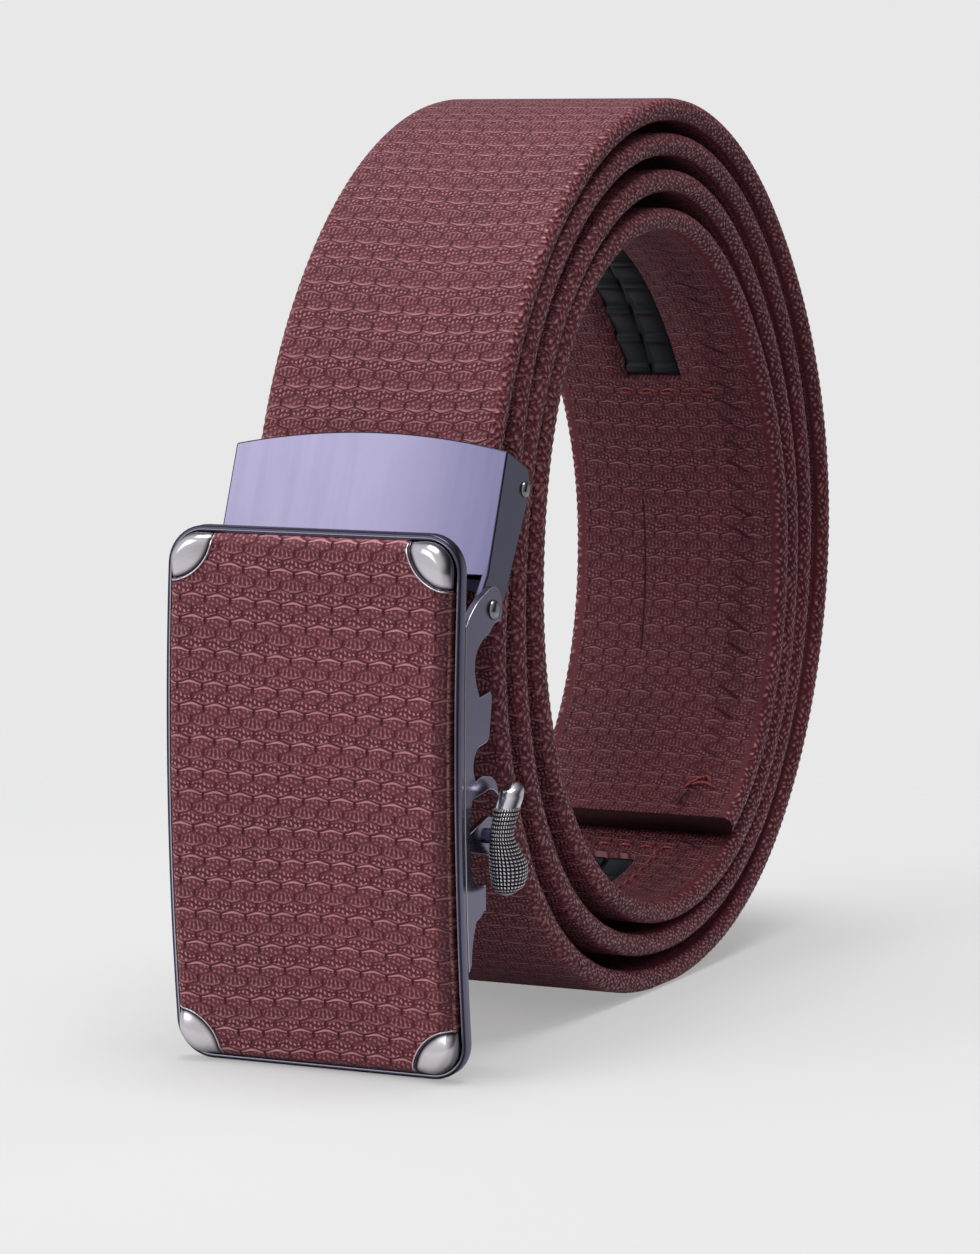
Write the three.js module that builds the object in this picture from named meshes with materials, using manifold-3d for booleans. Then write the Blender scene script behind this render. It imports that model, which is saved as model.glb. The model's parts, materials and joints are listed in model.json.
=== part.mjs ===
// A rolled-up ratchet belt with an automatic buckle. Millimetres, X across the strap,
// -Y the buckle's front, +Z up. The roll and the buckle's lower edge stand on z = 0.
import * as THREE from 'three';
import { mergeVertices } from 'three/addons/utils/BufferGeometryUtils.js';
import Module from 'manifold-3d';

const wasm = await Module();
wasm.setup();

// Clearance between two pieces that lie against each other
const gap = 0.3;

// Strap
const strapWidth = 35;
const strapThickness = 3.2;
const strapEdgeRadius = 1.25;
const stationLength = 7;
const rollRadius = 64;
const widestAir = 5;
const rollEnd = 1321;
const footFlat = 0.25;

// Toothed track in a window of the strap's inner face, between two angles of the roll
const trackWidth = 8.6;
const trackShift = -0.7;
const trackStart = 967.5;
const trackEnd = 1227;
const trackBase = 0.55;
const toothHeight = 0.6;
const toothPitch = 6.3;
const lastTooth = 1223.3;
const columnGap = 0.7;

// Sheet metal of the clamp and of the frame, and the room between them at the hinge
const sheet = 1;
const frameSheet = 0.9;
const hingeRoom = 0.2;

// Clamp on the strap's end, measured down from the point where the strap runs straight
const clampedLength = 19;
const coverTop = 3.5;
const coverHeight = 16.8;
const coverArch = 2.1;
const cheekRoom = 1.3;
const cheekDepth = 8.6;
const hingeDrop = 4.4;
const hingeInset = 0.8;
const hingeLug = 2.3;
const rivetRadius = 0.9;
const rivetHead = 1.25;
const jawSheet = 0.9;
const jawPinRadius = 0.7;
const jawPinHead = 1.1;
const jawPinDepth = 4.3;
const jawPinDrop = 3;
const jawBarrelWall = 0.45;

// Face plate, measured from the hinge axis
const plateHeight = 70.8;
const plateAboveHinge = 10.6;
const plateCorner = 5;
const faceForward = 10.85;
const faceBulge = 2.1;
const faceLean = 2.5;
const trayFloor = 1;
const trayLip = 1.1;
const trayWall = 0.6;
const leatherThickness = 2.1;
const capRadius = 6.5;
const capDome = 0.5;

// Frame behind the face plate
const flangeLength = 46;
const flangeDepth = 8.2;
const earRadius = 3;
const passage = 4.8;
const guideBar = 1.2;
const guideHeight = 3.4;

// Pawl and its lever
const shaftRadius = 1;
const shaftDrop = 29.2;
const shaftClearance = 0.08;
const shaftBoss = 2.5;
const pawlWidth = 16;
const pawlPlate = 1.4;
const pawlRise = 7.8;
const pawlNose = 2.8;
const pawlTip = 0.6;
const leverLength = 14.6;
const leverThickness = 4.4;
const leverGap = 0.3;

// Widths that follow from the ones above
const coverInside = strapWidth + 2 * cheekRoom;
const coverWidth = coverInside + 2 * sheet;
const frameWidth = coverWidth + 2 * (hingeRoom + frameSheet);
const plateWidth = frameWidth + 0.2;

const metal = (color, roughness) => new THREE.MeshStandardMaterial({ color, roughness, metalness: 1 });
const plain = (color, roughness) => new THREE.MeshStandardMaterial({ color, roughness, metalness: 0 });

// Solids: a merged closed mesh becomes a manifold for a cut or a join, and comes back as a geometry
function solidOf(geometry) {
  const bare = geometry.clone();
  bare.deleteAttribute('normal');
  bare.deleteAttribute('uv');
  const merged = mergeVertices(bare, 1e-4);
  return new wasm.Manifold(new wasm.Mesh({
    numProp: 3,
    vertProperties: new Float32Array(merged.attributes.position.array),
    triVerts: new Uint32Array(merged.index.array),
  }));
}

function geometryOf(solid) {
  const mesh = solid.getMesh();
  const geometry = new THREE.BufferGeometry();
  geometry.setAttribute('position', new THREE.BufferAttribute(mesh.vertProperties, 3));
  geometry.setIndex(new THREE.BufferAttribute(mesh.triVerts, 1));
  geometry.computeVertexNormals();
  return geometry;
}

// An outline seen from the right side, (y, z), pushed out across the belt from x0 to x1
const sideView = new THREE.Matrix4().makeBasis(
  new THREE.Vector3(0, 1, 0), new THREE.Vector3(0, 0, 1), new THREE.Vector3(1, 0, 0));

function across(outline, x0, x1, edge = 0) {
  const rounded = edge > 0;
  const geometry = new THREE.ExtrudeGeometry(outline, {
    depth: x1 - x0 - 2 * edge,
    bevelEnabled: rounded,
    bevelThickness: edge,
    bevelSize: edge,
    bevelOffset: -edge,
    bevelSegments: 2,
    curveSegments: 5,
  });
  return geometry.applyMatrix4(sideView).translate(x0 + edge, 0, 0);
}

// An outline seen from the front, (x, z), pushed out from y0 back to y1
function frontToBack(outline, y0, y1, curveSegments = 5) {
  const geometry = new THREE.ExtrudeGeometry(outline, { depth: y1 - y0, bevelEnabled: false, curveSegments });
  return geometry.rotateX(Math.PI / 2).translate(0, y1, 0);
}

function rod(radius, x0, x1, y, z, sides = 14) {
  const geometry = new THREE.CylinderGeometry(radius, radius, x1 - x0, sides);
  return geometry.rotateZ(Math.PI / 2).translate((x0 + x1) / 2, y, z);
}

function pathOf(points) {
  return new THREE.Shape(points.map(([y, z]) => new THREE.Vector2(y, z)));
}

// The roll. Directions are eighths of a turn, from the front up over the top. The outer turn
// has its radius as a share of rollRadius, the others the air outside them as a share of
// widestAir.
const eighths = ['front', 'frontTop', 'top', 'backTop', 'back', 'backBottom', 'bottom', 'frontBottom'];
const outerTurn = {
  front: 1.034, frontTop: 0.998, top: 0.983, backTop: 0.966,
  back: 1.02, backBottom: 1.009, bottom: 0.975, frontBottom: 1.025,
};
const airOutside = [
  {
    front: 0.22, frontTop: 0.2, top: 0.36, backTop: 0.62,
    back: 1.04, backBottom: 0.58, bottom: 0.36, frontBottom: 0.68,
  },
  {
    front: 0.74, frontTop: 0.5, top: 0.4, backTop: 0.64,
    back: 0.56, backBottom: 0.16, bottom: 0.2, frontBottom: 0.86,
  },
  {
    front: 0.52, frontTop: 0.14, top: 0.48, backTop: 0.46,
    back: 0.3, backBottom: 0.26, bottom: 0.12, frontBottom: 0.12,
  },
];

function knotRadius(index) {
  const knot = Math.max(index, 0);
  const direction = eighths[knot % 8];
  const turn = Math.floor(knot / 8);
  if (turn === 0) return rollRadius * outerTurn[direction];
  const air = airOutside[Math.min(turn, airOutside.length) - 1][direction];
  return knotRadius(knot - 8) - strapThickness - widestAir * air;
}

function freeRadius(angle) {
  const place = angle / 45;
  const knot = Math.floor(place);
  const t = place - knot;
  const [a, b, c, d] = [-1, 0, 1, 2].map((step) => knotRadius(knot + step));
  return b + 0.5 * t * (c - a + t * (2 * a - 5 * b + 4 * c - d + t * (3 * (b - c) + d - a)));
}

function spot(radius, angle) {
  const turn = THREE.MathUtils.degToRad(angle);
  return new THREE.Vector2(-radius * Math.cos(turn), radius * Math.sin(turn));
}

// Where the strap leaves the roll and runs straight into the clamp, for a start angle
function clampPlace(start) {
  const top = spot(freeRadius(start), start);
  const along = spot(freeRadius(start + 1), start + 1).sub(top).normalize();
  const inward = new THREE.Vector2(along.y, -along.x);
  const at = (depth, drop) => top.clone().addScaledVector(inward, depth).addScaledVector(along, -drop);
  return { top, along, inward, at, lean: Math.atan2(along.x, along.y) };
}

const coverFront = -(strapThickness / 2 + gap + sheet);
const hingeDepth = coverFront + hingeInset;
const hingeAt = coverTop + coverHeight + hingeDrop;
const plateBelowHinge = plateHeight - plateAboveHinge;
const lean = THREE.MathUtils.degToRad(faceLean);

// The roll turns on the floor until the plate's lower edge stands there too
const rollFloor = (() => {
  let lowest = 0;
  for (let angle = 225; angle <= 315; angle += 1) {
    lowest = Math.min(lowest, spot(freeRadius(angle) + strapThickness / 2, angle).y);
  }
  return lowest + footFlat;
})();
const footDepth = faceForward - leatherThickness - gap + trayLip;
const hingeHeight = plateBelowHinge * Math.cos(lean) + footDepth * Math.sin(lean);

function startAngle() {
  let low = -20;
  let high = 60;
  for (let pass = 0; pass < 30; pass += 1) {
    const middle = (low + high) / 2;
    const reached = clampPlace(middle).at(hingeDepth, hingeAt).y - rollFloor;
    if (reached > hingeHeight) high = middle;
    else low = middle;
  }
  return (low + high) / 2;
}

const rollStart = startAngle();
const clamp = clampPlace(rollStart);

// The second turn gives way behind the jaw's barrel
const jawPinAt = coverTop + jawPinDrop;
const jawBarrel = jawPinRadius + 0.05 + jawBarrelWall;
const barrelSpot = clamp.at(jawPinDepth, jawPinAt);
const barrelAngle = 360 + THREE.MathUtils.radToDeg(Math.atan2(barrelSpot.y, -barrelSpot.x));
const dentSpread = 14;
const dent = Math.max(0, freeRadius(barrelAngle)
  - (barrelSpot.length() - jawBarrel - gap - strapThickness / 2));

function radiusAt(angle) {
  return freeRadius(angle) - dent * Math.exp(-(((angle - barrelAngle) / dentSpread) ** 2));
}

function station(angle) {
  const point = spot(radiusAt(angle), angle);
  const ahead = spot(radiusAt(angle + 0.5), angle + 0.5);
  const behind = spot(radiusAt(angle - 0.5), angle - 0.5);
  const along = ahead.sub(behind).normalize();
  return { point, outward: new THREE.Vector2(-along.y, along.x) };
}

function anglesBetween(start, end, length) {
  const angles = [];
  let angle = start;
  while (angle < end - THREE.MathUtils.radToDeg(length / radiusAt(angle)) / 2) {
    angles.push(angle);
    angle += THREE.MathUtils.radToDeg(length / radiusAt(angle));
  }
  angles.push(end);
  return angles;
}

const aside = (place, offset) => place.point.clone().addScaledVector(place.outward, offset);

// A closed ribbon along the stations, between two distances outward from the strap's middle
function ribbon(places, outer, inner) {
  return new THREE.Shape([
    ...places.map((place) => aside(place, outer)),
    ...places.map((place) => aside(place, inner)).reverse(),
  ]);
}

const half = strapThickness / 2;
const pocketFloor = -half + toothHeight + trackBase + gap + 0.1;

// Strap with its window
function strapGeometry() {
  const straight = [clampedLength, clampedLength / 2].map((drop) => ({
    point: clamp.at(0, drop),
    outward: clamp.inward.clone().negate(),
  }));
  const rolled = anglesBetween(rollStart, rollEnd, stationLength).map(station);
  const outline = ribbon([...straight, ...rolled], half, -half);
  const flattened = outline.getPoints().map((point) => [point.x, Math.max(point.y, rollFloor)]);
  const strap = across(pathOf(flattened), -strapWidth / 2, strapWidth / 2, strapEdgeRadius);

  const window = ribbon(anglesBetween(trackStart, trackEnd, stationLength).map(station), pocketFloor, -half - 1);
  const reach = trackWidth / 2 + gap;
  return geometryOf(solidOf(strap).subtract(solidOf(across(window, trackShift - reach, trackShift + reach))));
}

// Two columns of ratchet teeth side by side on one base strip. Each tooth is a steep step and a
// long ramp: rows give the share of the pitch and the share of the tooth's height.
const toothRows = [
  { along: 0.02, high: 0 },
  { along: 0.1, high: 1 },
  { along: 0.24, high: 1 },
  { along: 0.92, high: 0.08 },
];

function trackGeometry() {
  const endGap = THREE.MathUtils.radToDeg(gap / radiusAt(trackEnd));
  const back = pocketFloor - gap;
  const root = back - trackBase;
  const base = anglesBetween(trackStart + endGap, trackEnd - endGap, stationLength).map(station);
  const pitchAt = (angle) => THREE.MathUtils.radToDeg(toothPitch / radiusAt(angle));
  const starts = [];
  for (let angle = lastTooth; angle > trackStart + pitchAt(angle); angle -= pitchAt(angle)) {
    starts.unshift(angle);
  }
  const crest = [];
  for (const angle of starts) {
    for (const row of toothRows) {
      const place = Math.min(angle + row.along * pitchAt(angle), trackEnd - endGap);
      crest.push(aside(station(place), root - row.high * toothHeight));
    }
  }
  const teeth = new THREE.Shape([
    ...base.map((place) => aside(place, back)),
    ...crest.reverse(),
    aside(base[0], root),
  ]);
  const strip = solidOf(across(ribbon(base, back, root), trackShift - columnGap, trackShift + columnGap));
  const left = solidOf(across(teeth, trackShift - trackWidth / 2, trackShift - columnGap / 2));
  const right = solidOf(across(teeth, trackShift + columnGap / 2, trackShift + trackWidth / 2));
  return geometryOf(strip.add(left).add(right));
}

// Clamp pieces, in the clamp's own frame: y inward from the strap's middle, z up along the strap
function coverGeometry() {
  const cheekTop = -coverTop;
  const cheekEnd = -(coverTop + coverHeight);
  const rear = coverFront + cheekDepth;
  const sheetShape = new THREE.Shape();
  sheetShape.moveTo(-coverWidth / 2, cheekEnd);
  sheetShape.lineTo(coverWidth / 2, cheekEnd);
  sheetShape.lineTo(coverWidth / 2, cheekTop);
  sheetShape.quadraticCurveTo(0, cheekTop + 2 * coverArch, -coverWidth / 2, cheekTop);
  let cover = solidOf(frontToBack(sheetShape, coverFront, coverFront + sheet, 10));

  const cheek = new THREE.Shape();
  cheek.moveTo(coverFront, cheekTop);
  cheek.lineTo(rear - 0.15 * cheekDepth, cheekTop);
  cheek.lineTo(rear, cheekTop - 0.2 * cheekDepth);
  cheek.lineTo(rear, cheekTop - 0.3 * coverHeight);
  cheek.lineTo(rear - 0.28 * cheekDepth, cheekEnd - 0.4 * hingeDrop);
  cheek.absarc(hingeDepth, -hingeAt, hingeLug, 0, -Math.PI, true);
  cheek.lineTo(coverFront, cheekEnd);
  for (const side of [-1, 1]) {
    const x = side * (coverInside + sheet) / 2;
    cover = cover.add(solidOf(across(cheek, x - sheet / 2, x + sheet / 2)));
  }
  const pin = rod(jawPinRadius + 0.05, -coverWidth, coverWidth, jawPinDepth, -jawPinAt);
  const rivet = rod(rivetRadius + 0.05, -coverWidth, coverWidth, hingeDepth, -hingeAt);
  return geometryOf(cover.subtract(solidOf(pin)).subtract(solidOf(rivet)));
}

function jawGeometry() {
  const reach = coverInside / 2 - gap;
  const front = half + gap;
  const end = -(coverTop + coverHeight - 1);
  const plate = pathOf([
    [front, -jawPinAt + jawBarrel], [front + jawSheet, -jawPinAt + jawBarrel],
    [jawPinDepth, -jawPinAt], [front + jawSheet, -jawPinAt - 2 * jawBarrel],
    [front + jawSheet, end], [front + jawSheet + 1.2, end - 0.9],
    [front + jawSheet + 0.6, end - 1.5], [front, end - 0.4],
  ]);
  const barrel = rod(jawBarrel, -reach, reach, jawPinDepth, -jawPinAt);
  const bore = rod(jawPinRadius + 0.05, -coverWidth, coverWidth, jawPinDepth, -jawPinAt);
  return geometryOf(solidOf(across(plate, -reach, reach)).add(solidOf(barrel)).subtract(solidOf(bore)));
}

// A round pin along X with a domed head at one or both ends
function pinGeometry(radius, head, x0, x1, headAtStart) {
  const length = x1 - x0;
  const dome = head * 0.55;
  const profile = [[0, headAtStart ? -dome : 0]];
  if (headAtStart) profile.push([head * 0.7, -dome * 0.7], [head, 0], [radius, 0]);
  else profile.push([radius, 0]);
  profile.push([radius, length], [head, length], [head * 0.7, length + dome * 0.7], [0, length + dome]);
  const points = profile.map(([r, along]) => new THREE.Vector2(r, along));
  return new THREE.LatheGeometry(points, 14).rotateZ(-Math.PI / 2).translate(x0, 0, 0);
}

// Buckle pieces, in the buckle's own frame: the hinge axis is y = 0, z = 0
const plateMiddle = plateAboveHinge - plateHeight / 2;

function faceAt(z) {
  const share = (z - plateMiddle) / (plateHeight / 2);
  return -faceForward - faceBulge * (1 - share * share);
}

// A curved band behind the face, between two depths, cut to an outline seen from the front
function bandSolid(outline, frontDepth, backDepth) {
  const steps = 14;
  const heights = Array.from({ length: steps + 1 }, (_, i) => plateAboveHinge + 1 - (i / steps) * (plateHeight + 2));
  const shape = pathOf([
    ...heights.map((z) => [faceAt(z) + frontDepth, z]),
    ...heights.map((z) => [faceAt(z) + backDepth, z]).reverse(),
  ]);
  const band = solidOf(across(shape, -plateWidth, plateWidth));
  return band.intersect(solidOf(frontToBack(outline, -2 * faceForward, faceForward)));
}

function plateOutline(inset) {
  const reach = plateWidth / 2 - inset;
  const top = plateAboveHinge - inset;
  const foot = top - plateHeight + 2 * inset;
  const corner = plateCorner - inset;
  const shape = new THREE.Shape();
  shape.moveTo(-reach + corner, foot);
  shape.lineTo(reach - corner, foot);
  shape.absarc(reach - corner, foot + corner, corner, -Math.PI / 2, 0, false);
  shape.absarc(reach - corner, top - corner, corner, 0, Math.PI / 2, false);
  shape.absarc(-reach + corner, top - corner, corner, Math.PI / 2, Math.PI, false);
  shape.absarc(-reach + corner, foot + corner, corner, Math.PI, 1.5 * Math.PI, false);
  return shape;
}

const floorDepth = leatherThickness + gap;
const trayBack = floorDepth + trayFloor;
const panelInset = trayWall + gap;

function trayGeometry() {
  const blank = bandSolid(plateOutline(0), floorDepth - trayLip, trayBack);
  const hollow = bandSolid(plateOutline(trayWall), -1, floorDepth);
  return geometryOf(blank.subtract(hollow));
}

function cornerDisc(sideX, sideZ, radius) {
  const x = sideX * (plateWidth / 2 - panelInset);
  const z = plateMiddle + sideZ * (plateHeight / 2 - panelInset);
  const disc = new THREE.Shape();
  disc.absarc(x, z, radius, 0, 2 * Math.PI, false);
  return solidOf(frontToBack(disc, -2 * faceForward, faceForward, 24));
}

const corners = [
  { name: 'corner_cap_top_left', x: -1, z: 1 },
  { name: 'corner_cap_top_right', x: 1, z: 1 },
  { name: 'corner_cap_bottom_left', x: -1, z: -1 },
  { name: 'corner_cap_bottom_right', x: 1, z: -1 },
];

function leatherGeometry() {
  let panel = bandSolid(plateOutline(panelInset), 0, leatherThickness);
  for (const corner of corners) panel = panel.subtract(cornerDisc(corner.x, corner.z, capRadius + gap));
  return geometryOf(panel);
}

function capGeometry(corner) {
  const base = bandSolid(plateOutline(panelInset), 0, leatherThickness);
  const crown = bandSolid(plateOutline(panelInset + capDome), -capDome, 0.1);
  const lower = base.intersect(cornerDisc(corner.x, corner.z, capRadius));
  const upper = crown.intersect(cornerDisc(corner.x, corner.z, capRadius - capDome));
  return geometryOf(lower.add(upper));
}

// The flange's free edge from the ear down, as shares of flangeLength and of flangeDepth behind
// the plate. A bow bends the line to that row, as a share of its length.
const flangeEdge = [
  { down: 0.062, out: 0.9, bow: 0.12 },
  { down: 0.235, out: 0.55, bow: 0.36 },
  { down: 0.228, out: 0.96, bow: 0 },
  { down: 0.27, out: 1, bow: -0.15 },
  { down: 0.352, out: 0.93, bow: 0 },
  { down: 0.37, out: 0.78, bow: -0.15 },
  { down: 0.375, out: 0.5, bow: 0 },
  { down: 0.47, out: 0.42, bow: 0.26 },
  { down: 0.465, out: 0.85, bow: -0.1 },
  { down: 0.5, out: 1.22, bow: -0.12 },
  { down: 0.535, out: 1.3, bow: 0 },
  { down: 0.505, out: 0.92, bow: 0.1 },
  { down: 0.515, out: 0.3, bow: 0 },
  { down: 0.58, out: 0.2, bow: 0.1 },
];
const flangeFoot = [
  { down: 0.72, out: 0.2, bow: 0 },
  { down: 0.775, out: 0.68, bow: 0.15 },
  { down: 0.83, out: 0.72, bow: 0 },
  { down: 0.865, out: 0.34, bow: -0.1 },
  { down: 0.985, out: 0.1, bow: 0.06 },
];

const behindPlate = (z) => faceAt(z) + trayBack + gap;

function follow(shape, row) {
  const z = -row.down * flangeLength;
  const end = new THREE.Vector2(behindPlate(z) + row.out * flangeDepth, z);
  if (row.bow === 0) {
    shape.lineTo(end.x, end.y);
    return;
  }
  const start = shape.currentPoint.clone();
  const chord = end.clone().sub(start);
  const control = start.clone().addScaledVector(chord, 0.5);
  control.add(new THREE.Vector2(chord.y, -chord.x).multiplyScalar(2 * row.bow));
  shape.quadraticCurveTo(control.x, control.y, end.x, end.y);
}

const shaftDepth = behindPlate(-shaftDrop) + sheet + passage + 0.3 + shaftRadius;

function flangeShape() {
  const shape = new THREE.Shape();
  const shoulder = -0.4 * earRadius;
  shape.moveTo(behindPlate(shoulder), shoulder);
  shape.quadraticCurveTo(-1.9 * earRadius, 0.55 * earRadius, -0.5 * earRadius, 0.866 * earRadius);
  shape.absarc(0, 0, earRadius, 2 * Math.PI / 3, -Math.PI / 5, true);
  for (const row of flangeEdge) follow(shape, row);
  const neck = 0.5 * shaftBoss;
  shape.lineTo(behindPlate(-shaftDrop) + 0.2 * flangeDepth, -shaftDrop + neck);
  shape.lineTo(shaftDepth, -shaftDrop + shaftBoss);
  shape.absarc(shaftDepth, -shaftDrop, shaftBoss, Math.PI / 2, -Math.PI / 2, true);
  shape.lineTo(behindPlate(-shaftDrop) + 0.2 * flangeDepth, -shaftDrop - neck);
  for (const row of flangeFoot) follow(shape, row);
  const steps = 9;
  for (let i = 0; i < steps; i += 1) {
    const z = -flangeLength + (i / steps) * (flangeLength + shoulder);
    shape.lineTo(behindPlate(z), z);
  }
  return shape;
}

function frameGeometry() {
  const shape = flangeShape();
  const webTop = -0.12 * flangeLength;
  const webSteps = 8;
  const heights = Array.from({ length: webSteps + 1 }, (_, i) => webTop - (i / webSteps) * (flangeLength + webTop));
  const web = pathOf([
    ...heights.map((z) => [behindPlate(z), z]),
    ...heights.map((z) => [behindPlate(z) + sheet, z]).reverse(),
  ]);
  const middle = (frameWidth - frameSheet) / 2;
  let frame = solidOf(across(web, -middle, middle));
  for (const side of [-1, 1]) {
    const x = side * middle;
    frame = frame.add(solidOf(across(shape, x - frameSheet / 2, x + frameSheet / 2)));
  }
  const barTop = -0.775 * flangeLength;
  const barFront = behindPlate(barTop) + sheet + passage;
  const bar = pathOf([
    [barFront, barTop], [barFront + guideBar, barTop],
    [barFront + guideBar, barTop - guideHeight], [barFront, barTop - guideHeight],
  ]);
  frame = frame.add(solidOf(across(bar, -middle, middle)));
  const shaftHole = rod(shaftRadius + shaftClearance, -plateWidth, plateWidth, shaftDepth, -shaftDrop);
  const rivetHole = rod(rivetRadius + 0.05, -plateWidth, plateWidth, 0, 0);
  return geometryOf(frame.subtract(solidOf(shaftHole)).subtract(solidOf(rivetHole)));
}

const leverMiddle = frameWidth / 2 + leverGap + leverThickness / 2;

// Tooth plate on its shaft, in the shaft's own frame
function pawlGeometry() {
  const rear = shaftRadius + 0.9;
  const toothTip = behindPlate(-shaftDrop + pawlRise) + sheet + 0.5 - shaftDepth;
  const plate = pathOf([
    [rear, -rear], [rear, pawlRise], [toothTip, pawlRise + pawlTip],
    [rear - pawlPlate, pawlRise + pawlTip - pawlNose], [rear - pawlPlate, rear],
    [-rear + gap, pawlTip], [-rear + gap, -pawlTip],
  ]);
  const shaft = rod(shaftRadius, -frameWidth / 2 - 0.5, leverMiddle - 0.4 * leverThickness, 0, 0);
  return geometryOf(solidOf(across(plate, -pawlWidth / 2, pawlWidth / 2)).add(solidOf(shaft)));
}

// Lever rows from its top to its foot: place along the lever, half width, half thickness and
// bend, as shares of leverLength and leverThickness
const leverRows = [
  { along: 0, wide: 0, thick: 0, bend: 0.18 },
  { along: 0.04, wide: 0.1, thick: 0.25, bend: 0.16 },
  { along: 0.12, wide: 0.14, thick: 0.36, bend: 0.11 },
  { along: 0.22, wide: 0.135, thick: 0.36, bend: 0.03 },
  { along: 0.34, wide: 0.115, thick: 0.33, bend: -0.06 },
  { along: 0.46, wide: 0.115, thick: 0.33, bend: -0.09 },
  { along: 0.58, wide: 0.155, thick: 0.41, bend: -0.04 },
  { along: 0.72, wide: 0.215, thick: 0.5, bend: 0.04 },
  { along: 0.85, wide: 0.205, thick: 0.47, bend: 0.05 },
  { along: 0.95, wide: 0.13, thick: 0.33, bend: 0.02 },
  { along: 1, wide: 0, thick: 0, bend: 0 },
];

function leverGeometry() {
  const points = leverRows.map((row) => new THREE.Vector2(row.wide, -row.along)).reverse();
  const geometry = new THREE.LatheGeometry(points, 12).rotateX(Math.PI / 2);
  const place = geometry.attributes.position;
  const waist = 0.475;
  for (let i = 0; i < place.count; i += 1) {
    const along = -place.getZ(i);
    const row = leverRows.find((entry) => Math.abs(entry.along - along) < 1e-5);
    const turn = row.wide > 0 ? 1 / row.wide : 0;
    place.setXYZ(i,
      place.getX(i) * turn * row.thick * leverThickness,
      (place.getY(i) + row.bend) * leverLength,
      (waist - along) * leverLength);
  }
  const bore = rod(shaftRadius + shaftClearance, -leverThickness, 0.1 * leverThickness, 0, 0);
  return geometryOf(solidOf(geometry).subtract(solidOf(bore)));
}

// Assembly
const gunmetal = () => metal(0x5a566e, 0.32);
const silver = () => metal(0xb9b2b8, 0.3);

function piece(name, geometry, material) {
  const mesh = new THREE.Mesh(geometry, material);
  mesh.name = name;
  return mesh;
}

const roll = new THREE.Group();
roll.position.z = -rollFloor;
roll.add(piece('strap', strapGeometry(), plain(0x6b3a41, 0.5)));
roll.add(piece('ratchet_track', trackGeometry(), plain(0x1b2230, 0.45)));

const clampGroup = new THREE.Group();
clampGroup.position.set(0, clamp.top.x, clamp.top.y);
clampGroup.rotation.x = -clamp.lean;
clampGroup.add(piece('clamp_cover', coverGeometry(), gunmetal()));
clampGroup.add(piece('clamp_jaw', jawGeometry(), gunmetal()));
const pinEnd = coverWidth / 2 + 0.05;
const jawPin = piece('jaw_pin', pinGeometry(jawPinRadius, jawPinHead, -pinEnd, pinEnd, true), silver());
jawPin.position.set(0, jawPinDepth, -jawPinAt);
clampGroup.add(jawPin);
roll.add(clampGroup);

const hinge = clamp.at(hingeDepth, hingeAt);
const buckle = new THREE.Group();
buckle.position.set(0, hinge.x, hinge.y);
buckle.rotation.x = lean;
buckle.add(piece('buckle_frame', frameGeometry(), gunmetal()));
buckle.add(piece('face_tray', trayGeometry(), gunmetal()));
buckle.add(piece('face_leather', leatherGeometry(), plain(0x6b3a41, 0.5)));
for (const corner of corners) buckle.add(piece(corner.name, capGeometry(corner), silver()));
const rivetStart = coverInside / 2 + 0.1;
const rivetEnd = frameWidth / 2 + 0.1;
const rivetRight = piece('hinge_rivet_right', pinGeometry(rivetRadius, rivetHead, rivetStart, rivetEnd, false), silver());
buckle.add(rivetRight);
const rivetLeft = piece('hinge_rivet_left', pinGeometry(rivetRadius, rivetHead, rivetStart, rivetEnd, false), silver());
rivetLeft.rotation.z = Math.PI;
buckle.add(rivetLeft);

const pawlGroup = new THREE.Group();
pawlGroup.position.set(0, shaftDepth, -shaftDrop);
pawlGroup.add(piece('pawl', pawlGeometry(), gunmetal()));
const lever = piece('release_lever', leverGeometry(), silver());
lever.position.x = leverMiddle;
pawlGroup.add(lever);
buckle.add(pawlGroup);
roll.add(buckle);

const group = new THREE.Group();
group.add(roll);
group.updateMatrixWorld(true);
const box = new THREE.Box3().setFromObject(group, true);
const middle = box.getCenter(new THREE.Vector3());
roll.position.set(-middle.x, -middle.y, roll.position.z - box.min.z);
group.updateMatrixWorld(true);

export default group;
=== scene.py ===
import json
import math

import bpy
import bmesh
import numpy as np
from mathutils import Matrix, Vector


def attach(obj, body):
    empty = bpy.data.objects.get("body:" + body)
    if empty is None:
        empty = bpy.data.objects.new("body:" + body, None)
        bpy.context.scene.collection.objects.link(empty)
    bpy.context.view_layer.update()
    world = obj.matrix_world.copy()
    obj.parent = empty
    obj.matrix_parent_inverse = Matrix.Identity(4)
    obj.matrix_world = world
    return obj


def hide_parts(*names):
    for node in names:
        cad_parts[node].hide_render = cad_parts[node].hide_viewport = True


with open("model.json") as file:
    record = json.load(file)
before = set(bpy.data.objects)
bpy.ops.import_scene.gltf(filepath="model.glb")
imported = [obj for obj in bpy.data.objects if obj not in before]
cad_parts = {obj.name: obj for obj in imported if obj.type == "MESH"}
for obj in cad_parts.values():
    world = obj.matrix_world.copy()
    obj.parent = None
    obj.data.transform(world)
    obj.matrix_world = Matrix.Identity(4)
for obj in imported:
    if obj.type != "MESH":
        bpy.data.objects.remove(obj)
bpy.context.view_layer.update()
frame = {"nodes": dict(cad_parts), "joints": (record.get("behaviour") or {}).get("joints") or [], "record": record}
mm = 0.001

print("scene: frame loaded")

# Camera, at the photo's angle
cameraLook = {
    "azimuth": 24.0,
    "elevation": 5.35,
    "roll": 0.5,
    "distance": 0.5962,
    "lens": 121.3,
    "target": (-0.00239, -0.01695, 0.0535),
}


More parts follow.
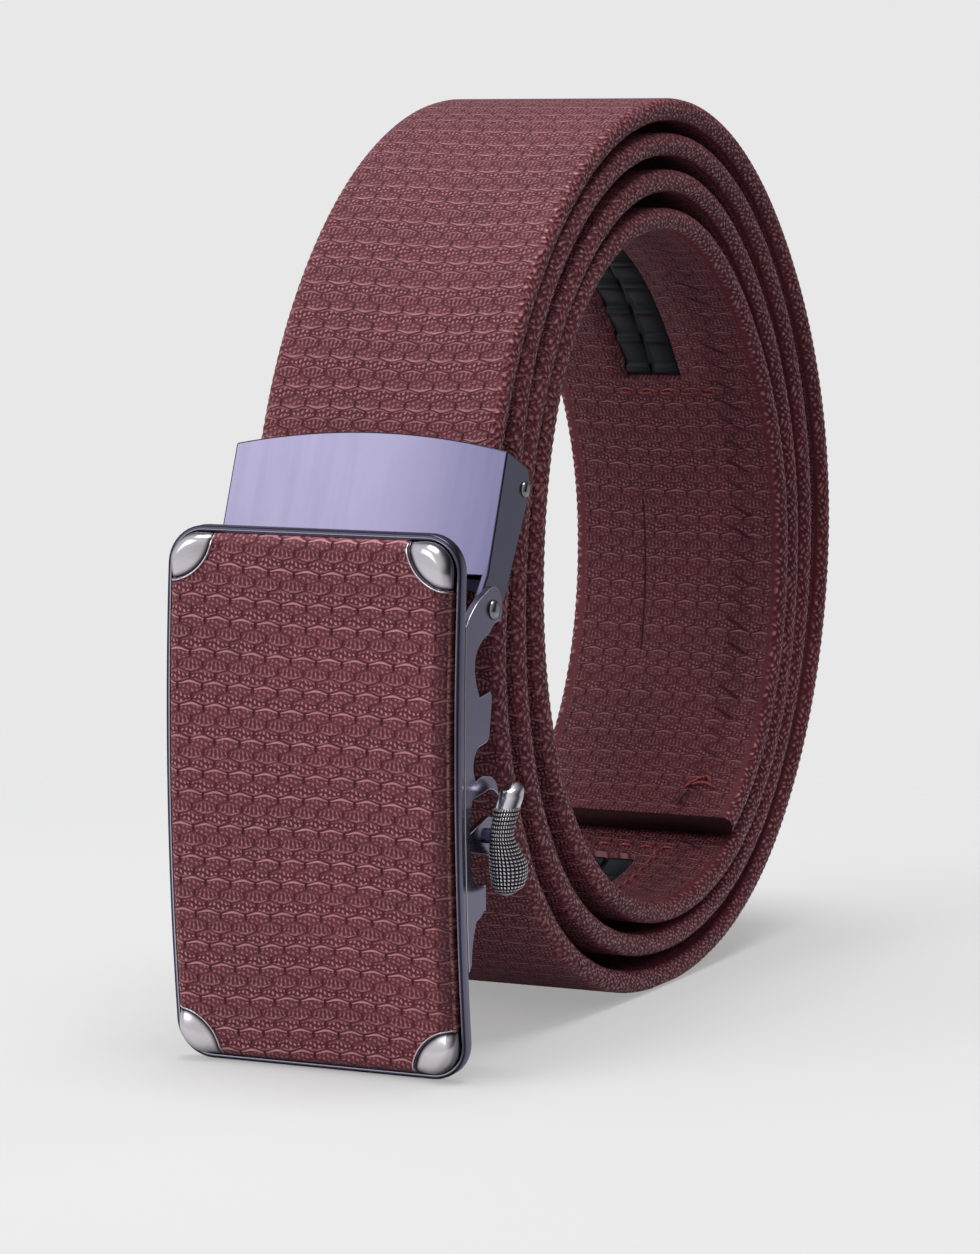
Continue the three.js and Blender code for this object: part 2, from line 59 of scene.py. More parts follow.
def placeCamera(look):
    a, e = math.radians(look["azimuth"]), math.radians(look["elevation"])
    forward = Vector((-math.sin(a) * math.cos(e), math.cos(a) * math.cos(e), -math.sin(e)))
    data = bpy.data.cameras.new("photoCamera")
    data.lens = look["lens"]
    data.sensor_width = 36
    data.clip_start, data.clip_end = 0.01, 20
    camera = bpy.data.objects.new("photoCamera", data)
    bpy.context.scene.collection.objects.link(camera)
    turn = forward.to_track_quat("-Z", "Y").to_matrix().to_4x4()
    roll = Matrix.Rotation(math.radians(look["roll"]), 4, "Z")
    place = Vector(look["target"]) - forward * look["distance"]
    camera.matrix_world = Matrix.Translation(place) @ turn @ roll
    bpy.context.scene.camera = camera


placeCamera(cameraLook)


# Node trees in short form
class Sheet:
    def __init__(self, tree):
        self.tree = tree

    def add(self, kind, **values):
        node = self.tree.nodes.new(kind)
        for key, value in values.items():
            setattr(node, key, value)
        return node

    def put(self, source, socket):
        if isinstance(source, bpy.types.NodeSocket):
            self.tree.links.new(source, socket)
        else:
            socket.default_value = source

    def math(self, operation, *inputs, clamp=False):
        node = self.add("ShaderNodeMath", operation=operation, use_clamp=clamp)
        for source, socket in zip(inputs, node.inputs):
            self.put(source, socket)
        return node.outputs[0]

    def smooth(self, value, low, high, toLow=0.0, toHigh=1.0):
        node = self.add("ShaderNodeMapRange", interpolation_type="SMOOTHSTEP")
        for source, socket in zip((value, low, high, toLow, toHigh), node.inputs):
            self.put(source, socket)
        return node.outputs[0]

    def mix(self, factor, one, other):
        node = self.add("ShaderNodeMix", data_type="RGBA")
        self.put(factor, node.inputs[0])
        self.put(one, node.inputs[6])
        self.put(other, node.inputs[7])
        return node.outputs[2]

    def noise(self, vector, scale, detail=2.0, rough=0.5):
        node = self.add("ShaderNodeTexNoise")
        self.put(vector, node.inputs["Vector"])
        node.inputs["Scale"].default_value = scale
        node.inputs["Detail"].default_value = detail
        node.inputs["Roughness"].default_value = rough
        return node.outputs["Fac"]

    def joined(self, x, z):
        node = self.add("ShaderNodeCombineXYZ")
        self.put(x.socket, node.inputs[0])
        self.put(z.socket, node.inputs[2])
        return node.outputs[0]

    def split(self, vector):
        node = self.add("ShaderNodeSeparateXYZ")
        self.put(vector, node.inputs[0])
        return self.signals(node.outputs)

    def signals(self, sockets):
        return [Signal(self, socket) for socket in sockets]

    def onObject(self):
        return self.add("ShaderNodeTexCoord").outputs["Object"]

    def onVertices(self, name):
        return self.add("ShaderNodeAttribute", attribute_name=name).outputs

    def scaled(self, vector, scale):
        node = self.add("ShaderNodeVectorMath", operation="SCALE")
        self.put(vector, node.inputs[0])
        self.put(scale, node.inputs["Scale"])
        return node.outputs[0]

    def towards(self, vector, direction):
        node = self.add("ShaderNodeVectorMath", operation="DOT_PRODUCT")
        self.put(vector, node.inputs[0])
        self.put(direction, node.inputs[1])
        return node.outputs["Value"]

    def bump(self, height, distance):
        node = self.add("ShaderNodeBump")
        self.put(height, node.inputs["Height"])
        node.inputs["Distance"].default_value = distance
        return node.outputs["Normal"]


def newGroup(name, inputs, outputs):
    tree = bpy.data.node_groups.new(name, "ShaderNodeTree")
    for label, kind, value in inputs:
        socket = tree.interface.new_socket(name=label, in_out="INPUT", socket_type=kind)
        if value is not None:
            socket.default_value = value
    for label, kind in outputs:
        tree.interface.new_socket(name=label, in_out="OUTPUT", socket_type=kind)
    start = tree.nodes.new("NodeGroupInput")
    end = tree.nodes.new("NodeGroupOutput")
    return Sheet(tree), start.outputs, end.inputs


def placeGroup(sheet, group, **values):
    node = sheet.add("ShaderNodeGroup")
    node.node_tree = group.tree
    for label, value in values.items():
        sheet.put(value, node.inputs[label])
    return node.outputs


def newMaterial(name):
    material = bpy.data.materials.new(name)
    material.use_nodes = True
    tree = material.node_tree
    return material, Sheet(tree), tree.nodes["Principled BSDF"].inputs


floatSocket, vectorSocket = "NodeSocketFloat", "NodeSocketVector"


# A node socket that reads like a number, so that one formula serves nodes and numpy alike
class Signal:
    def __init__(self, sheet, socket):
        self.sheet = sheet
        self.socket = socket

    def join(self, operation, *others):
        inputs = [other.socket if isinstance(other, Signal) else other for other in others]
        return Signal(self.sheet, self.sheet.math(operation, self.socket, *inputs))

    def __add__(self, other):
        return self.join("ADD", other)

    def __radd__(self, other):
        return self.join("ADD", other)

    def __sub__(self, other):
        return self.join("SUBTRACT", other)

    def __rsub__(self, other):
        return self.join("MULTIPLY", -1.0) + other

    def __mul__(self, other):
        return self.join("MULTIPLY", other)

    def __rmul__(self, other):
        return self.join("MULTIPLY", other)

    def __truediv__(self, other):
        return self.join("DIVIDE", other)

    def __abs__(self):
        return self.join("ABSOLUTE")


def floor(value):
    return value.join("FLOOR") if isinstance(value, Signal) else np.floor(value)


def sine(value):
    return value.join("SINE") if isinstance(value, Signal) else np.sin(value)


def larger(one, other):
    return one.join("MAXIMUM", other) if isinstance(one, Signal) else np.maximum(one, other)


def between(value, low, high):
    if isinstance(value, Signal):
        return Signal(value.sheet, value.sheet.smooth(value.socket, low, high))
    t = np.clip((value - low) / (high - low), 0, 1)
    return t * t * (3 - 2 * t)


def luck(value):
    waved = 43.7 * sine(value)
    return waved - floor(waved)


# Embossing: six-sided cells in brick order, in rows across the strap. Some rows are plain scales
# under a bright arched rim, and between them lie rows of seeds and rows of fine ribs.
embossLook = {
    "rowPitch": 1.41,
    "cellWidth": 3.66,
    "wave": 0.17,
    "jitter": 0.1,
    "sway": 0.35,
    "rowTurn": 0.375,
    "archRows": 0.37,
    "seedRows": 0.7,
    "ribCount": 6.0,
    "seedCount": 1.15,
    "seedSway": 2.6,
    "body": ((1.04, 0.8), (0.5, 0.465)),
    "rim": (0.7, (0.3, 0.08), (0.478, 0.43)),
    "foot": (-0.74, (0.24, 0.06), (0.44, 0.34)),
    "inside": ((0.9, 0.66), (0.47, 0.42)),
    "notch": (0.15, (1.2, 0.6), (0.445, 0.482)),
    "seeds": (0.16, 0.5),
}
cellMasks = ("Body", "Rim", "Fine", "Notch")


# A cell's masks. In the look, pairs say where a mask fades out, first up the cell and then sideways.
def cellRelief(across, along, parity):
    look = embossLook
    row = 2 * floor((along - parity + 0.5) / 2) + parity
    up = along - row - 0.5
    placed = across + 0.5 * parity + look["jitter"] * luck(row * 2.3 + 0.7)
    cell = floor(placed)
    side = placed - cell - 0.5
    level = up / (0.5 + look["wave"] * sine(2 * math.pi * side + math.pi / 2))
    ends = abs(side)
    turn = row * look["rowTurn"]
    kind = turn - floor(turn)
    arch = between(kind, look["archRows"] + 0.01, look["archRows"] - 0.01)
    ribbed = between(kind, look["seedRows"] - 0.01, look["seedRows"] + 0.01)
    seeded = 1 - arch - ribbed
    fate = luck(cell * 1.7 + row * 2.9)

    high, wide = look["body"]
    body = between(abs(level), *high) * between(ends, *wide)
    at, high, wide = look["rim"]
    rim = between(abs(level - at), *high) * between(ends, *wide) * (0.12 + 0.88 * arch * (0.7 + 0.3 * fate))
    at, high, wide = look["foot"]
    foot = between(abs(level - at), *high) * between(ends, *wide) * (0.6 * ribbed + 0.35 * seeded)
    high, wide = look["inside"]
    inside = between(abs(level + 0.14 * arch), *high) * between(ends, *wide)
    bent = side + 0.2 * side * level
    ribs = 0.5 + 0.5 * sine(2 * math.pi * look["ribCount"] * bent + 6 * fate)
    swayed = look["seedSway"] * sine(2 * math.pi * side)
    rows = 0.5 + 0.5 * sine(2 * math.pi * look["seedCount"] * level + swayed + 5 * fate)
    seeds = between(ribs * rows, *look["seeds"])
    fine = inside * (arch * (0.08 + 0.55 * seeds)
                     + ribbed * (0.8 * ribs * ribs * (0.4 + 0.6 * rows) + 0.3 * seeds)
                     + 1.1 * seeded * seeds)
    at, high, wide = look["notch"]
    notch = between(ends, *wide) * between(abs(level - at), *high) * (0.6 + 0.4 * arch)
    return body, rim + foot, fine, notch


def embossing(u, v):
    look = embossLook
    sway = look["sway"] * (sine(0.11 * u + 0.045 * v) + 0.6 * sine(0.031 * v - 0.19 * u + 1.0))
    return u / look["cellWidth"], (v + sway) / look["rowPitch"]


def relief(u, v):
    across, along = embossing(u, v)
    even, odd = cellRelief(across, along, 0), cellRelief(across, along, 1)
    return [larger(one, other) for one, other in zip(even, odd)]


def cellGroup():
    given = [(label, floatSocket, 0.0) for label in ("Across", "Along", "Parity")]
    sheet, start, result = newGroup("embossedCells", given, [(label, floatSocket) for label in cellMasks])
    for signal, socket in zip(cellRelief(*sheet.signals(start[:3])), result):
        sheet.put(signal.socket, socket)
    return sheet


cells = cellGroup()


def embossGroup():
    sheet, given, result = newGroup("embossedRows", [("Place", vectorSocket, None)],
                                    [(label, floatSocket) for label in cellMasks + ("Height",)])
    across, along = embossing(*sheet.split(given["Place"])[:2])
    even, odd = (placeGroup(sheet, cells, Across=across.socket, Along=along.socket, Parity=float(parity))
                 for parity in (0, 1))
    top = [sheet.math("MAXIMUM", even[label], odd[label]) for label in cellMasks]
    for label, socket in zip(cellMasks, top):
        sheet.put(socket, result[label])
    body, rim, fine, notch = sheet.signals(top)
    sheet.put((0.12 * body + 0.7 * rim + 0.6 * fine - 0.3 * notch).socket, result["Height"])
    return sheet


embossedRows = embossGroup()

# Leather colours. groove and between give painted shade in the grooves between cells, rim gives painted highlights
# on rims, seeds and edge pebbles, and inner, outer and rounded scale the strap's colour as painted shade inside
# the roll and painted sheen on its rounded edges.
leatherLook = {
    "colour": (0.182, 0.031, 0.046, 1),
    "dull": (0.150, 0.027, 0.039, 1),
    "groove": (0.036, 0.005, 0.009, 1),
    "rim": (0.70, 0.31, 0.335, 1),
    "gloss": (1.0, 0.8, 0.88, 1),
    "between": 0.42,
    "inner": 0.7,
    "outer": 0.83,
    "rounded": 0.24,
    "relief": 0.32,
    "roughness": 0.36,
    "pores": (3.2, 3.0, 0.65),
    "patches": (0.05, 2.0),
    "strapSpecular": 0.24,
    "edgeCoat": 0.9,
    "coatRoughness": 0.34,
    "edgePolish": 0.13,
    "panelSpecular": 0.3,
    "panelEdge": 20.1,
    "panelShade": (2.6, 1.2, 0.62),
    "panelWear": (0.2, 0.17, 0.05, 0.75),
    "worn": (0.44, 0.23, 0.17, 1),
}

# What the strap shows besides its rows: a smooth border inside, pebbled edges, a zigzag seam near
# the right edge of the inner face, and a crease with a small ring above the tip
strapMarks = {
    "inside": (0.6, -1.3),
    "border": (15.2, 15.9),
    "edge": (15.9, 16.9),
    "pebbles": (4.3, 5.4),
    "notches": (0.05, -0.6),
    "ridges": (0.1, 0.8),
    "seamAt": 10.7,
    "seamBend": (1262.0, 28.0, 2.3),
    "seamPitch": 3.7,
    "seamReach": 1.5,
    "seamWidth": (0.748, 0.204),
    "pucker": (3.2, 1.0),
    "crease": (-5.6, 1238.0, 1263.0),
    "creaseLean": 0.02,
    "creaseWidth": (0.2, 0.06),
    "ring": (-5.3, 1236.0, 0.9),
    "ringWidth": (0.7, 0.2),
}


def marks(u, v, out):
    look = strapMarks
    inner = between(out, *look["inside"])
    border = between(abs(u), *look["border"]) * inner
    edge = between(abs(u), *look["edge"])
    alongWaves, aroundWaves = look["pebbles"]
    around = 1.25 * out + 0.1 * u
    first = alongWaves * v + 1.3 * sine(2.9 * around + 0.7 * v) + 0.8 * sine(1.7 * v)
    second = aroundWaves * around + 1.2 * sine(1.25 * v) + 0.6 * sine(3.1 * v)
    pebbles = sine(first) * sine(second)
    notches = between(pebbles, *look["notches"]) * edge
    ridges = between(pebbles, *look["ridges"]) * edge
    length = -1 * v
    start, span, bend = look["seamBend"]
    late = larger((length - start) / span, 0 * v)
    phase = length / look["seamPitch"]
    zigzag = look["seamReach"] * (4 * abs(phase - floor(phase) - 0.5) - 1)
    off = abs(u - look["seamAt"] + bend * late * late - zigzag)
    strong = (0.5 + 0.5 * luck(floor(2 * phase))) * (0.5 + 0.5 * between(phase - floor(phase), 0.42, 0.58))
    seam = between(off, *look["seamWidth"]) * inner * strong
    pucker = between(abs(u - look["seamAt"]), *look["pucker"]) * inner
    at, top, foot = look["crease"]
    crease = between(abs(u - at - look["creaseLean"] * (length - top)), *look["creaseWidth"]) * inner
    crease = crease * between(length, top - 1, top) * between(length, foot, foot - 2)
    ringX, ringAt, ringRadius = look["ring"]
    squared = (u - ringX) * (u - ringX) + (length - ringAt) * (length - ringAt)
    ring = between(abs(squared - ringRadius * ringRadius), *look["ringWidth"]) * inner
    return inner, border, notches, ridges, larger(larger(seam, crease), 0.4 * ring), pucker, edge


def marksGroup():
    labels = ("Inner", "Border", "Notches", "Ridges", "Lines", "Pucker", "Edge")
    sheet, given, result = newGroup("strapMarks", [("Place", vectorSocket, None)],
                                    [(label, floatSocket) for label in labels])
    for signal, socket in zip(marks(*sheet.split(given["Place"])), result):
        sheet.put(signal.socket, socket)
    return sheet


strapSigns = marksGroup()


# The vertices carry "leatherPlace": place across, place along and distance outward, in millimetres
def leatherMaterial(name, look, strap):
    material, sheet, shader = newMaterial(name)
    sheet.put(look["strapSpecular"] if strap else look["panelSpecular"], shader["Specular IOR Level"])
    sheet.put(look["gloss"], shader["Specular Tint"])
    place = sheet.onVertices("leatherPlace")["Vector"]
    rim, fine, notch, height = sheet.signals(placeGroup(sheet, embossedRows, Place=place))[1:]
    pores, patches = sheet.signals([sheet.noise(place, *look["pores"]), sheet.noise(place, *look["patches"])])
    # Painted shade: the grooves and notches between the cells are coloured dark.
    dark = larger(0.6 * notch, look["between"] * (1 - between(fine, 0.0, 0.35)) * (0.5 + pores))
    # Painted highlight: the cells' rims and seeds are coloured light, as if lit from above.
    light = larger(0.82 * rim, 0.6 * fine) * (0.55 + 0.9 * pores)
    rough = 0.2 * pores + look["roughness"]
    if strap:
        seen = placeGroup(sheet, strapSigns, Place=place)
        inner, border, notches, ridges, lines, pucker, edge = sheet.signals(seen)
        calm = 1 - larger(border, 0.75 * edge)
        # Painted shade and painted highlight: the pebbled edges' notches are coloured dark and their ridges light,
        # and the inner face gets weaker painted highlights.
        dark = larger(dark * calm, larger(0.5 * notches, 0.85 * lines))
        light = light * (1 - 0.7 * edge) * (1 - border) * (1 - lines) * (1 - 0.3 * inner)
        light = larger(light, (0.2 + 0.6 * pores) * ridges)
        height = height * calm - 0.55 * notches + 0.7 * ridges - 0.9 * lines + 0.5 * pucker * (pores - 0.5)
        rough = rough - look["edgePolish"] * edge * ridges
        sheet.put((look["edgeCoat"] * edge * ridges).socket, shader["Coat Weight"])
        sheet.put(look["coatRoughness"], shader["Coat Roughness"])
    base = sheet.mix(between(patches, 0.35, 0.65).socket, look["dull"], look["colour"])
    base = sheet.mix(dark.socket, base, look["groove"])
    base = sheet.mix(light.socket, base, look["rim"])
    if strap:
        # Painted shade and painted sheen: the inner face inside the roll is coloured darker than the outer face,
        # and the rounded edges lighter.
        scale = look["outer"] - (look["outer"] - look["inner"]) * inner + look["rounded"] * edge
        base = sheet.scaled(base, scale.socket)
    else:
        beside = sheet.split(place)[0] - look["panelEdge"]
        start, end, most = look["panelShade"]
        base = sheet.mix((most * between(beside, -start, -end)).socket, base, look["groove"])
        at, start, end, most = look["panelWear"]
        worn = between(abs(beside + at), start, end) * between(pores, 0.42, 0.56)
        base = sheet.mix((most * worn).socket, base, look["worn"])
    sheet.put(base, shader["Base Color"])
    sheet.put(rough.socket, shader["Roughness"])
    sheet.put(sheet.bump((height + 0.25 * pores).socket, look["relief"] * mm), shader["Normal"])
    return material


strapLeather = leatherMaterial("strapLeather", leatherLook, True)
panelLeather = leatherMaterial("panelLeather", leatherLook, False)

# Plainer stuff: cut leather, threads and the track's plastic, each two colours in one fine noise. The cut leather
# is near black, partly its own dark colour and partly painted shade.
stuffLook = {
    "shadedCutLeather": {"colour": (0.012, 0.003, 0.004, 1), "light": (0.04, 0.010, 0.012, 1), "roughness": 0.8,
                   "specular": 0.15, "noise": (1800.0, 3.0, 0.7), "relief": 0.08},
    "redThread": {"colour": (0.17, 0.010, 0.014, 1), "light": (0.44, 0.085, 0.075, 1), "roughness": 0.55,
                  "specular": 0.5, "noise": (4200.0, 2.0, 0.6), "contrast": (0.4, 0.65), "relief": 0.05},
    "darkThread": {"colour": (0.02, 0.004, 0.006, 1), "light": (0.07, 0.014, 0.018, 1), "roughness": 0.55,
                   "specular": 0.5, "noise": (4200.0, 2.0, 0.6), "contrast": (0.4, 0.65), "relief": 0.05},
    "trackPlastic": {"colour": (0.004, 0.006, 0.010, 1), "light": (0.009, 0.012, 0.019, 1), "roughness": 0.27,
                     "specular": 0.2, "noise": (900.0, 3.0, 0.5), "uneven": 0.15, "relief": 0.01},
}


def stuffMaterial(name, look):
    material, sheet, shader = newMaterial(name)
    sheet.put(look["roughness"], shader["Roughness"])
    sheet.put(look["specular"], shader["Specular IOR Level"])
    noise = sheet.noise(sheet.onObject(), *look["noise"])
    share = sheet.smooth(noise, *look["contrast"]) if "contrast" in look else noise
    sheet.put(sheet.mix(share, look["colour"], look["light"]), shader["Base Color"])
    if "uneven" in look:
        uneven = sheet.math("MULTIPLY", noise, look["uneven"])
        sheet.put(sheet.math("ADD", uneven, look["roughness"]), shader["Roughness"])
    sheet.put(sheet.bump(noise, look["relief"] * mm), shader["Normal"])
    return material


stuffs = {name: stuffMaterial(name, look) for name, look in stuffLook.items()}

# Metals. The vertices of some pieces carry two masks that the last two colours fill: painted shade in the caps'
# grooves and rolled sides and in the knurl's valleys, and on the tray a painted highlight line and painted shade
# lines.
metalLook = {
    "gunmetal": {"colour": (0.190, 0.176, 0.262, 1), "deep": (0.11, 0.1, 0.16, 1), "roughness": 0.2},
    "silver": {"colour": (0.80, 0.745, 0.80, 1), "deep": (0.5, 0.45, 0.52, 1), "roughness": 0.2,
               "paintedShading": (0.02, 0.018, 0.026, 1)},
    "knurled": {"colour": (0.92, 0.88, 0.94, 1), "deep": (0.2, 0.18, 0.24, 1), "roughness": 0.17,
                "paintedShading": (0.012, 0.011, 0.018, 1)},
    "paintedHighlightEdge": {"colour": (0.66, 0.62, 0.72, 1), "deep": (0.4, 0.37, 0.46, 1), "roughness": 0.22},
    "paintedShadeEdge": {"colour": (0.06, 0.055, 0.09, 1), "deep": (0.03, 0.028, 0.05, 1), "roughness": 0.22},
    "pinMetal": {"colour": (0.33, 0.34, 0.35, 1), "deep": (0.1, 0.1, 0.11, 1), "roughness": 0.16},
    "trayMetal": {"colour": (0.165, 0.153, 0.235, 1), "deep": (0.09, 0.085, 0.14, 1), "roughness": 0.2,
                  "paintedShading": (0.85, 0.8, 0.88, 1), "shade": (0.03, 0.028, 0.05, 1)},
    "coverMetal": {"colour": (0.190, 0.176, 0.262, 1), "deep": (0.09, 0.085, 0.15, 1), "roughness": 0.2,
                   "fade": (-0.002, 0.0185, 0.95), "streaks": (420.0, 3.0, 0.6), "faint": 0.14},
}


grainLook = {
    "noise": (60.0, 3.0, 0.6),
    "uneven": 0.08,
    "smudge": (0.3, 0.7),
    "smudged": 0.9,
    "hollowShade": (0.49, 0.42),
}


def grainGroup(look):
    sheet, given, result = newGroup("metalGrain", [
        ("Place", vectorSocket, None),
        ("Amount", floatSocket, look["uneven"]),
    ], [("Roughness", floatSocket), ("Smudge", floatSocket)])
    broad = sheet.noise(given["Place"], *look["noise"])
    swing = sheet.math("SUBTRACT", broad, 0.5)
    sheet.put(sheet.math("MULTIPLY", swing, given["Amount"]), result["Roughness"])
    sheet.put(sheet.smooth(broad, *look["smudge"]), result["Smudge"])
    return sheet


metalGrain = grainGroup(grainLook)


def metalMaterial(name, look):
    material, sheet, shader = newMaterial(name)
    sheet.put(1.0, shader["Metallic"])
    place = sheet.onObject()
    grain = placeGroup(sheet, metalGrain, Place=place)
    smudged = tuple(grainLook["smudged"] * c for c in look["colour"][:3]) + (1,)
    colour = sheet.mix(grain["Smudge"], smudged, look["colour"])
    # Painted shade: where the surface curves inward the colour goes to the deep colour.
    edges = sheet.add("ShaderNodeNewGeometry").outputs["Pointiness"]
    colour = sheet.mix(sheet.smooth(edges, *grainLook["hollowShade"]), colour, look["deep"])
    for filled in ("paintedShading", "shade"):
        if filled in look:
            colour = sheet.mix(sheet.onVertices(filled)["Fac"], colour, look[filled])
    # Painted shade: the cover darkens towards its right side, varied by the streaks. The faint streaks on their
    # own are the metal's uneven tone.
    if "fade" in look:
        across, up = sheet.split(place)[::2]
        streaks = Signal(sheet, sheet.noise(sheet.joined(across, up * 0.08), *look["streaks"]))
        start, end, most = look["fade"]
        fade = most * between(across, start, end) * (0.7 + 0.6 * streaks)
        faint = look["faint"] * between(streaks, 0.4, 0.7)
        colour = sheet.mix(larger(fade, faint).socket, colour, look["deep"])
    sheet.put(colour, shader["Base Color"])
    sheet.put(sheet.math("ADD", grain["Roughness"], look["roughness"]), shader["Roughness"])
    return material


metals = {name: metalMaterial(name, look) for name, look in metalLook.items()}
print("scene: materials made")

# The roll, from the same named values as the solids, in millimetres
rollShape = {
    "radius": 64.0,
    "widestAir": 5.0,
    "thick": 3.2,
    "wide": 35.0,
    "edge": 1.3,
    "start": 17.0704,
    "end": 1321.0,
    "clamped": 19.0,
    "floor": -63.7559,
    "barrelAngle": 370.8108,
    "dent": 2.4538,
    "dentSpread": 14.0,
    "centre": (-1.956, 9.240, 63.756),
    "outerTurn": (1.034, 0.998, 0.983, 0.966, 1.02, 1.009, 0.975, 1.025),
    "air": (
        (0.22, 0.2, 0.36, 0.62, 1.04, 0.58, 0.36, 0.68),
        (0.74, 0.5, 0.4, 0.64, 0.56, 0.16, 0.2, 0.86),
        (0.52, 0.14, 0.48, 0.46, 0.3, 0.26, 0.12, 0.12),
    ),
}


def knotRadius(index):
    knot = max(index, 0)
    turn, direction = divmod(knot, 8)
    if turn == 0:
        return rollShape["radius"] * rollShape["outerTurn"][direction]
    air = rollShape["air"][min(turn, 3) - 1][direction]
    return knotRadius(knot - 8) - rollShape["thick"] - rollShape["widestAir"] * air


knots = {index: knotRadius(index) for index in range(-2, 42)}


def radiusAt(angle):
    knot = math.floor(angle / 45)
    t = angle / 45 - knot
    a, b, c, d = (knots[knot + step] for step in (-1, 0, 1, 2))
    free = b + 0.5 * t * (c - a + t * (2 * a - 5 * b + 4 * c - d + t * (3 * (b - c) + d - a)))
    away = (angle - rollShape["barrelAngle"]) / rollShape["dentSpread"]
    return free - rollShape["dent"] * math.exp(-away ** 2)


def spot(angle):
    turn = math.radians(angle)
    radius = radiusAt(angle)
    return np.array((-radius * math.cos(turn), radius * math.sin(turn)))


# The strap's middle line: places in (y, z), outward directions and lengths from its clamped end
def middleLine(step):
    angles, places = [], []
    first = spot(rollShape["start"])
    along = spot(rollShape["start"] + 1) - first
    along /= np.linalg.norm(along)
    count = round(rollShape["clamped"] / step)
    for i in range(count):
        drop = rollShape["clamped"] * (1 - i / count)
        angles.append(rollShape["start"] - drop)
        places.append(first - along * drop)
    angle = rollShape["start"]
    while angle < rollShape["end"] - math.degrees(step / radiusAt(angle)) / 2:
        angles.append(angle)
        places.append(spot(angle))
        angle += math.degrees(step / radiusAt(angle))
    angles.append(rollShape["end"])
    places.append(spot(rollShape["end"]))
    places = np.array(places)
    ahead = np.gradient(places, axis=0)
    ahead /= np.linalg.norm(ahead, axis=1)[:, None]
    outward = np.stack([-ahead[:, 1], ahead[:, 0]], 1)
    lengths = np.concatenate([[0], np.cumsum(np.linalg.norm(np.diff(places, axis=0), axis=1))])
    return np.array(angles), places, outward, lengths


line = middleLine(embossLook["rowPitch"] / 3)


def lengthAt(angle):
    return float(np.interp(angle, line[0], line[3]))


# A point on or near the strap: length from the clamped end, place across, distance outward
def onStrap(length, x, out):
    y, z, oy, oz = (np.interp(length, line[3], column) for column in (*line[1].T, *line[2].T))
    cx, cy, cz = rollShape["centre"]
    return np.array((cx + x, cy + y + oy * out, max(cz + z + oz * out, 0.02))) * mm


# Helpers that every built piece uses
def addObject(name, data, *materials):
    piece = bpy.data.objects.new(name, data)
    bpy.context.scene.collection.objects.link(piece)
    for material in materials:
        data.materials.append(material)
    return piece


def toMesh(work, name, place=None):
    bmesh.ops.recalc_face_normals(work, faces=work.faces)
    mesh = bpy.data.meshes.new(name)
    work.to_mesh(mesh)
    work.free()
    if place:
        mesh.transform(place)
    mesh.shade_smooth()
    return mesh


def joinRings(work, rings):
    for one, other in zip(rings, rings[1:]):
        for i in range(len(one)):
            k = (i + 1) % len(one)
            work.faces.new((one[i], one[k], other[k], other[i]))


def closeEnds(work, rings):
    work.faces.new(rings[0][::-1])
    work.faces.new(rings[-1])


strapLook = {
    "flat": 9,
    "corner": 4,
    "edgeStretch": 1.45,
    "edgeRipple": 0.09,
    "window": (-5.3, 3.9),
    "windowAngles": (967.5, 1227.0),
    "windowClear": 0.7,
    "pocket": 1.55,
}


# Cross-section: x, offset outward, distance round from the middle of a face, and how much it is edge
def crossSection():
    half, thick, edge = rollShape["wide"] / 2, rollShape["thick"] / 2, rollShape["edge"]
    (low, high), clear = strapLook["window"], strapLook["windowClear"]
    xs = np.linspace(-half + edge, half - edge, strapLook["flat"])
    beside = [x for x in xs if x < low - clear or low + clear < x < high - clear or x > high + clear]
    inner = sorted(beside + [low, high])
    steps = strapLook["corner"]
    right = []
    for i in range(1, 2 * steps):
        turn = math.pi * i / (2 * steps)
        arc = strapLook["edgeStretch"] * min(turn, math.pi - turn) * (thick / edge) ** 0.5
        right.append((half - edge + edge * math.sin(turn), thick * math.cos(turn),
                      half - edge + arc, math.sin(turn)))
    left = [(-x, out, -around, rim) for x, out, around, rim in right[::-1]]
    outside = [(x, thick, x, 0.0) for x in xs]
    return np.array(outside + right + [(x, -thick, x, 0.0) for x in inner[::-1]] + left)


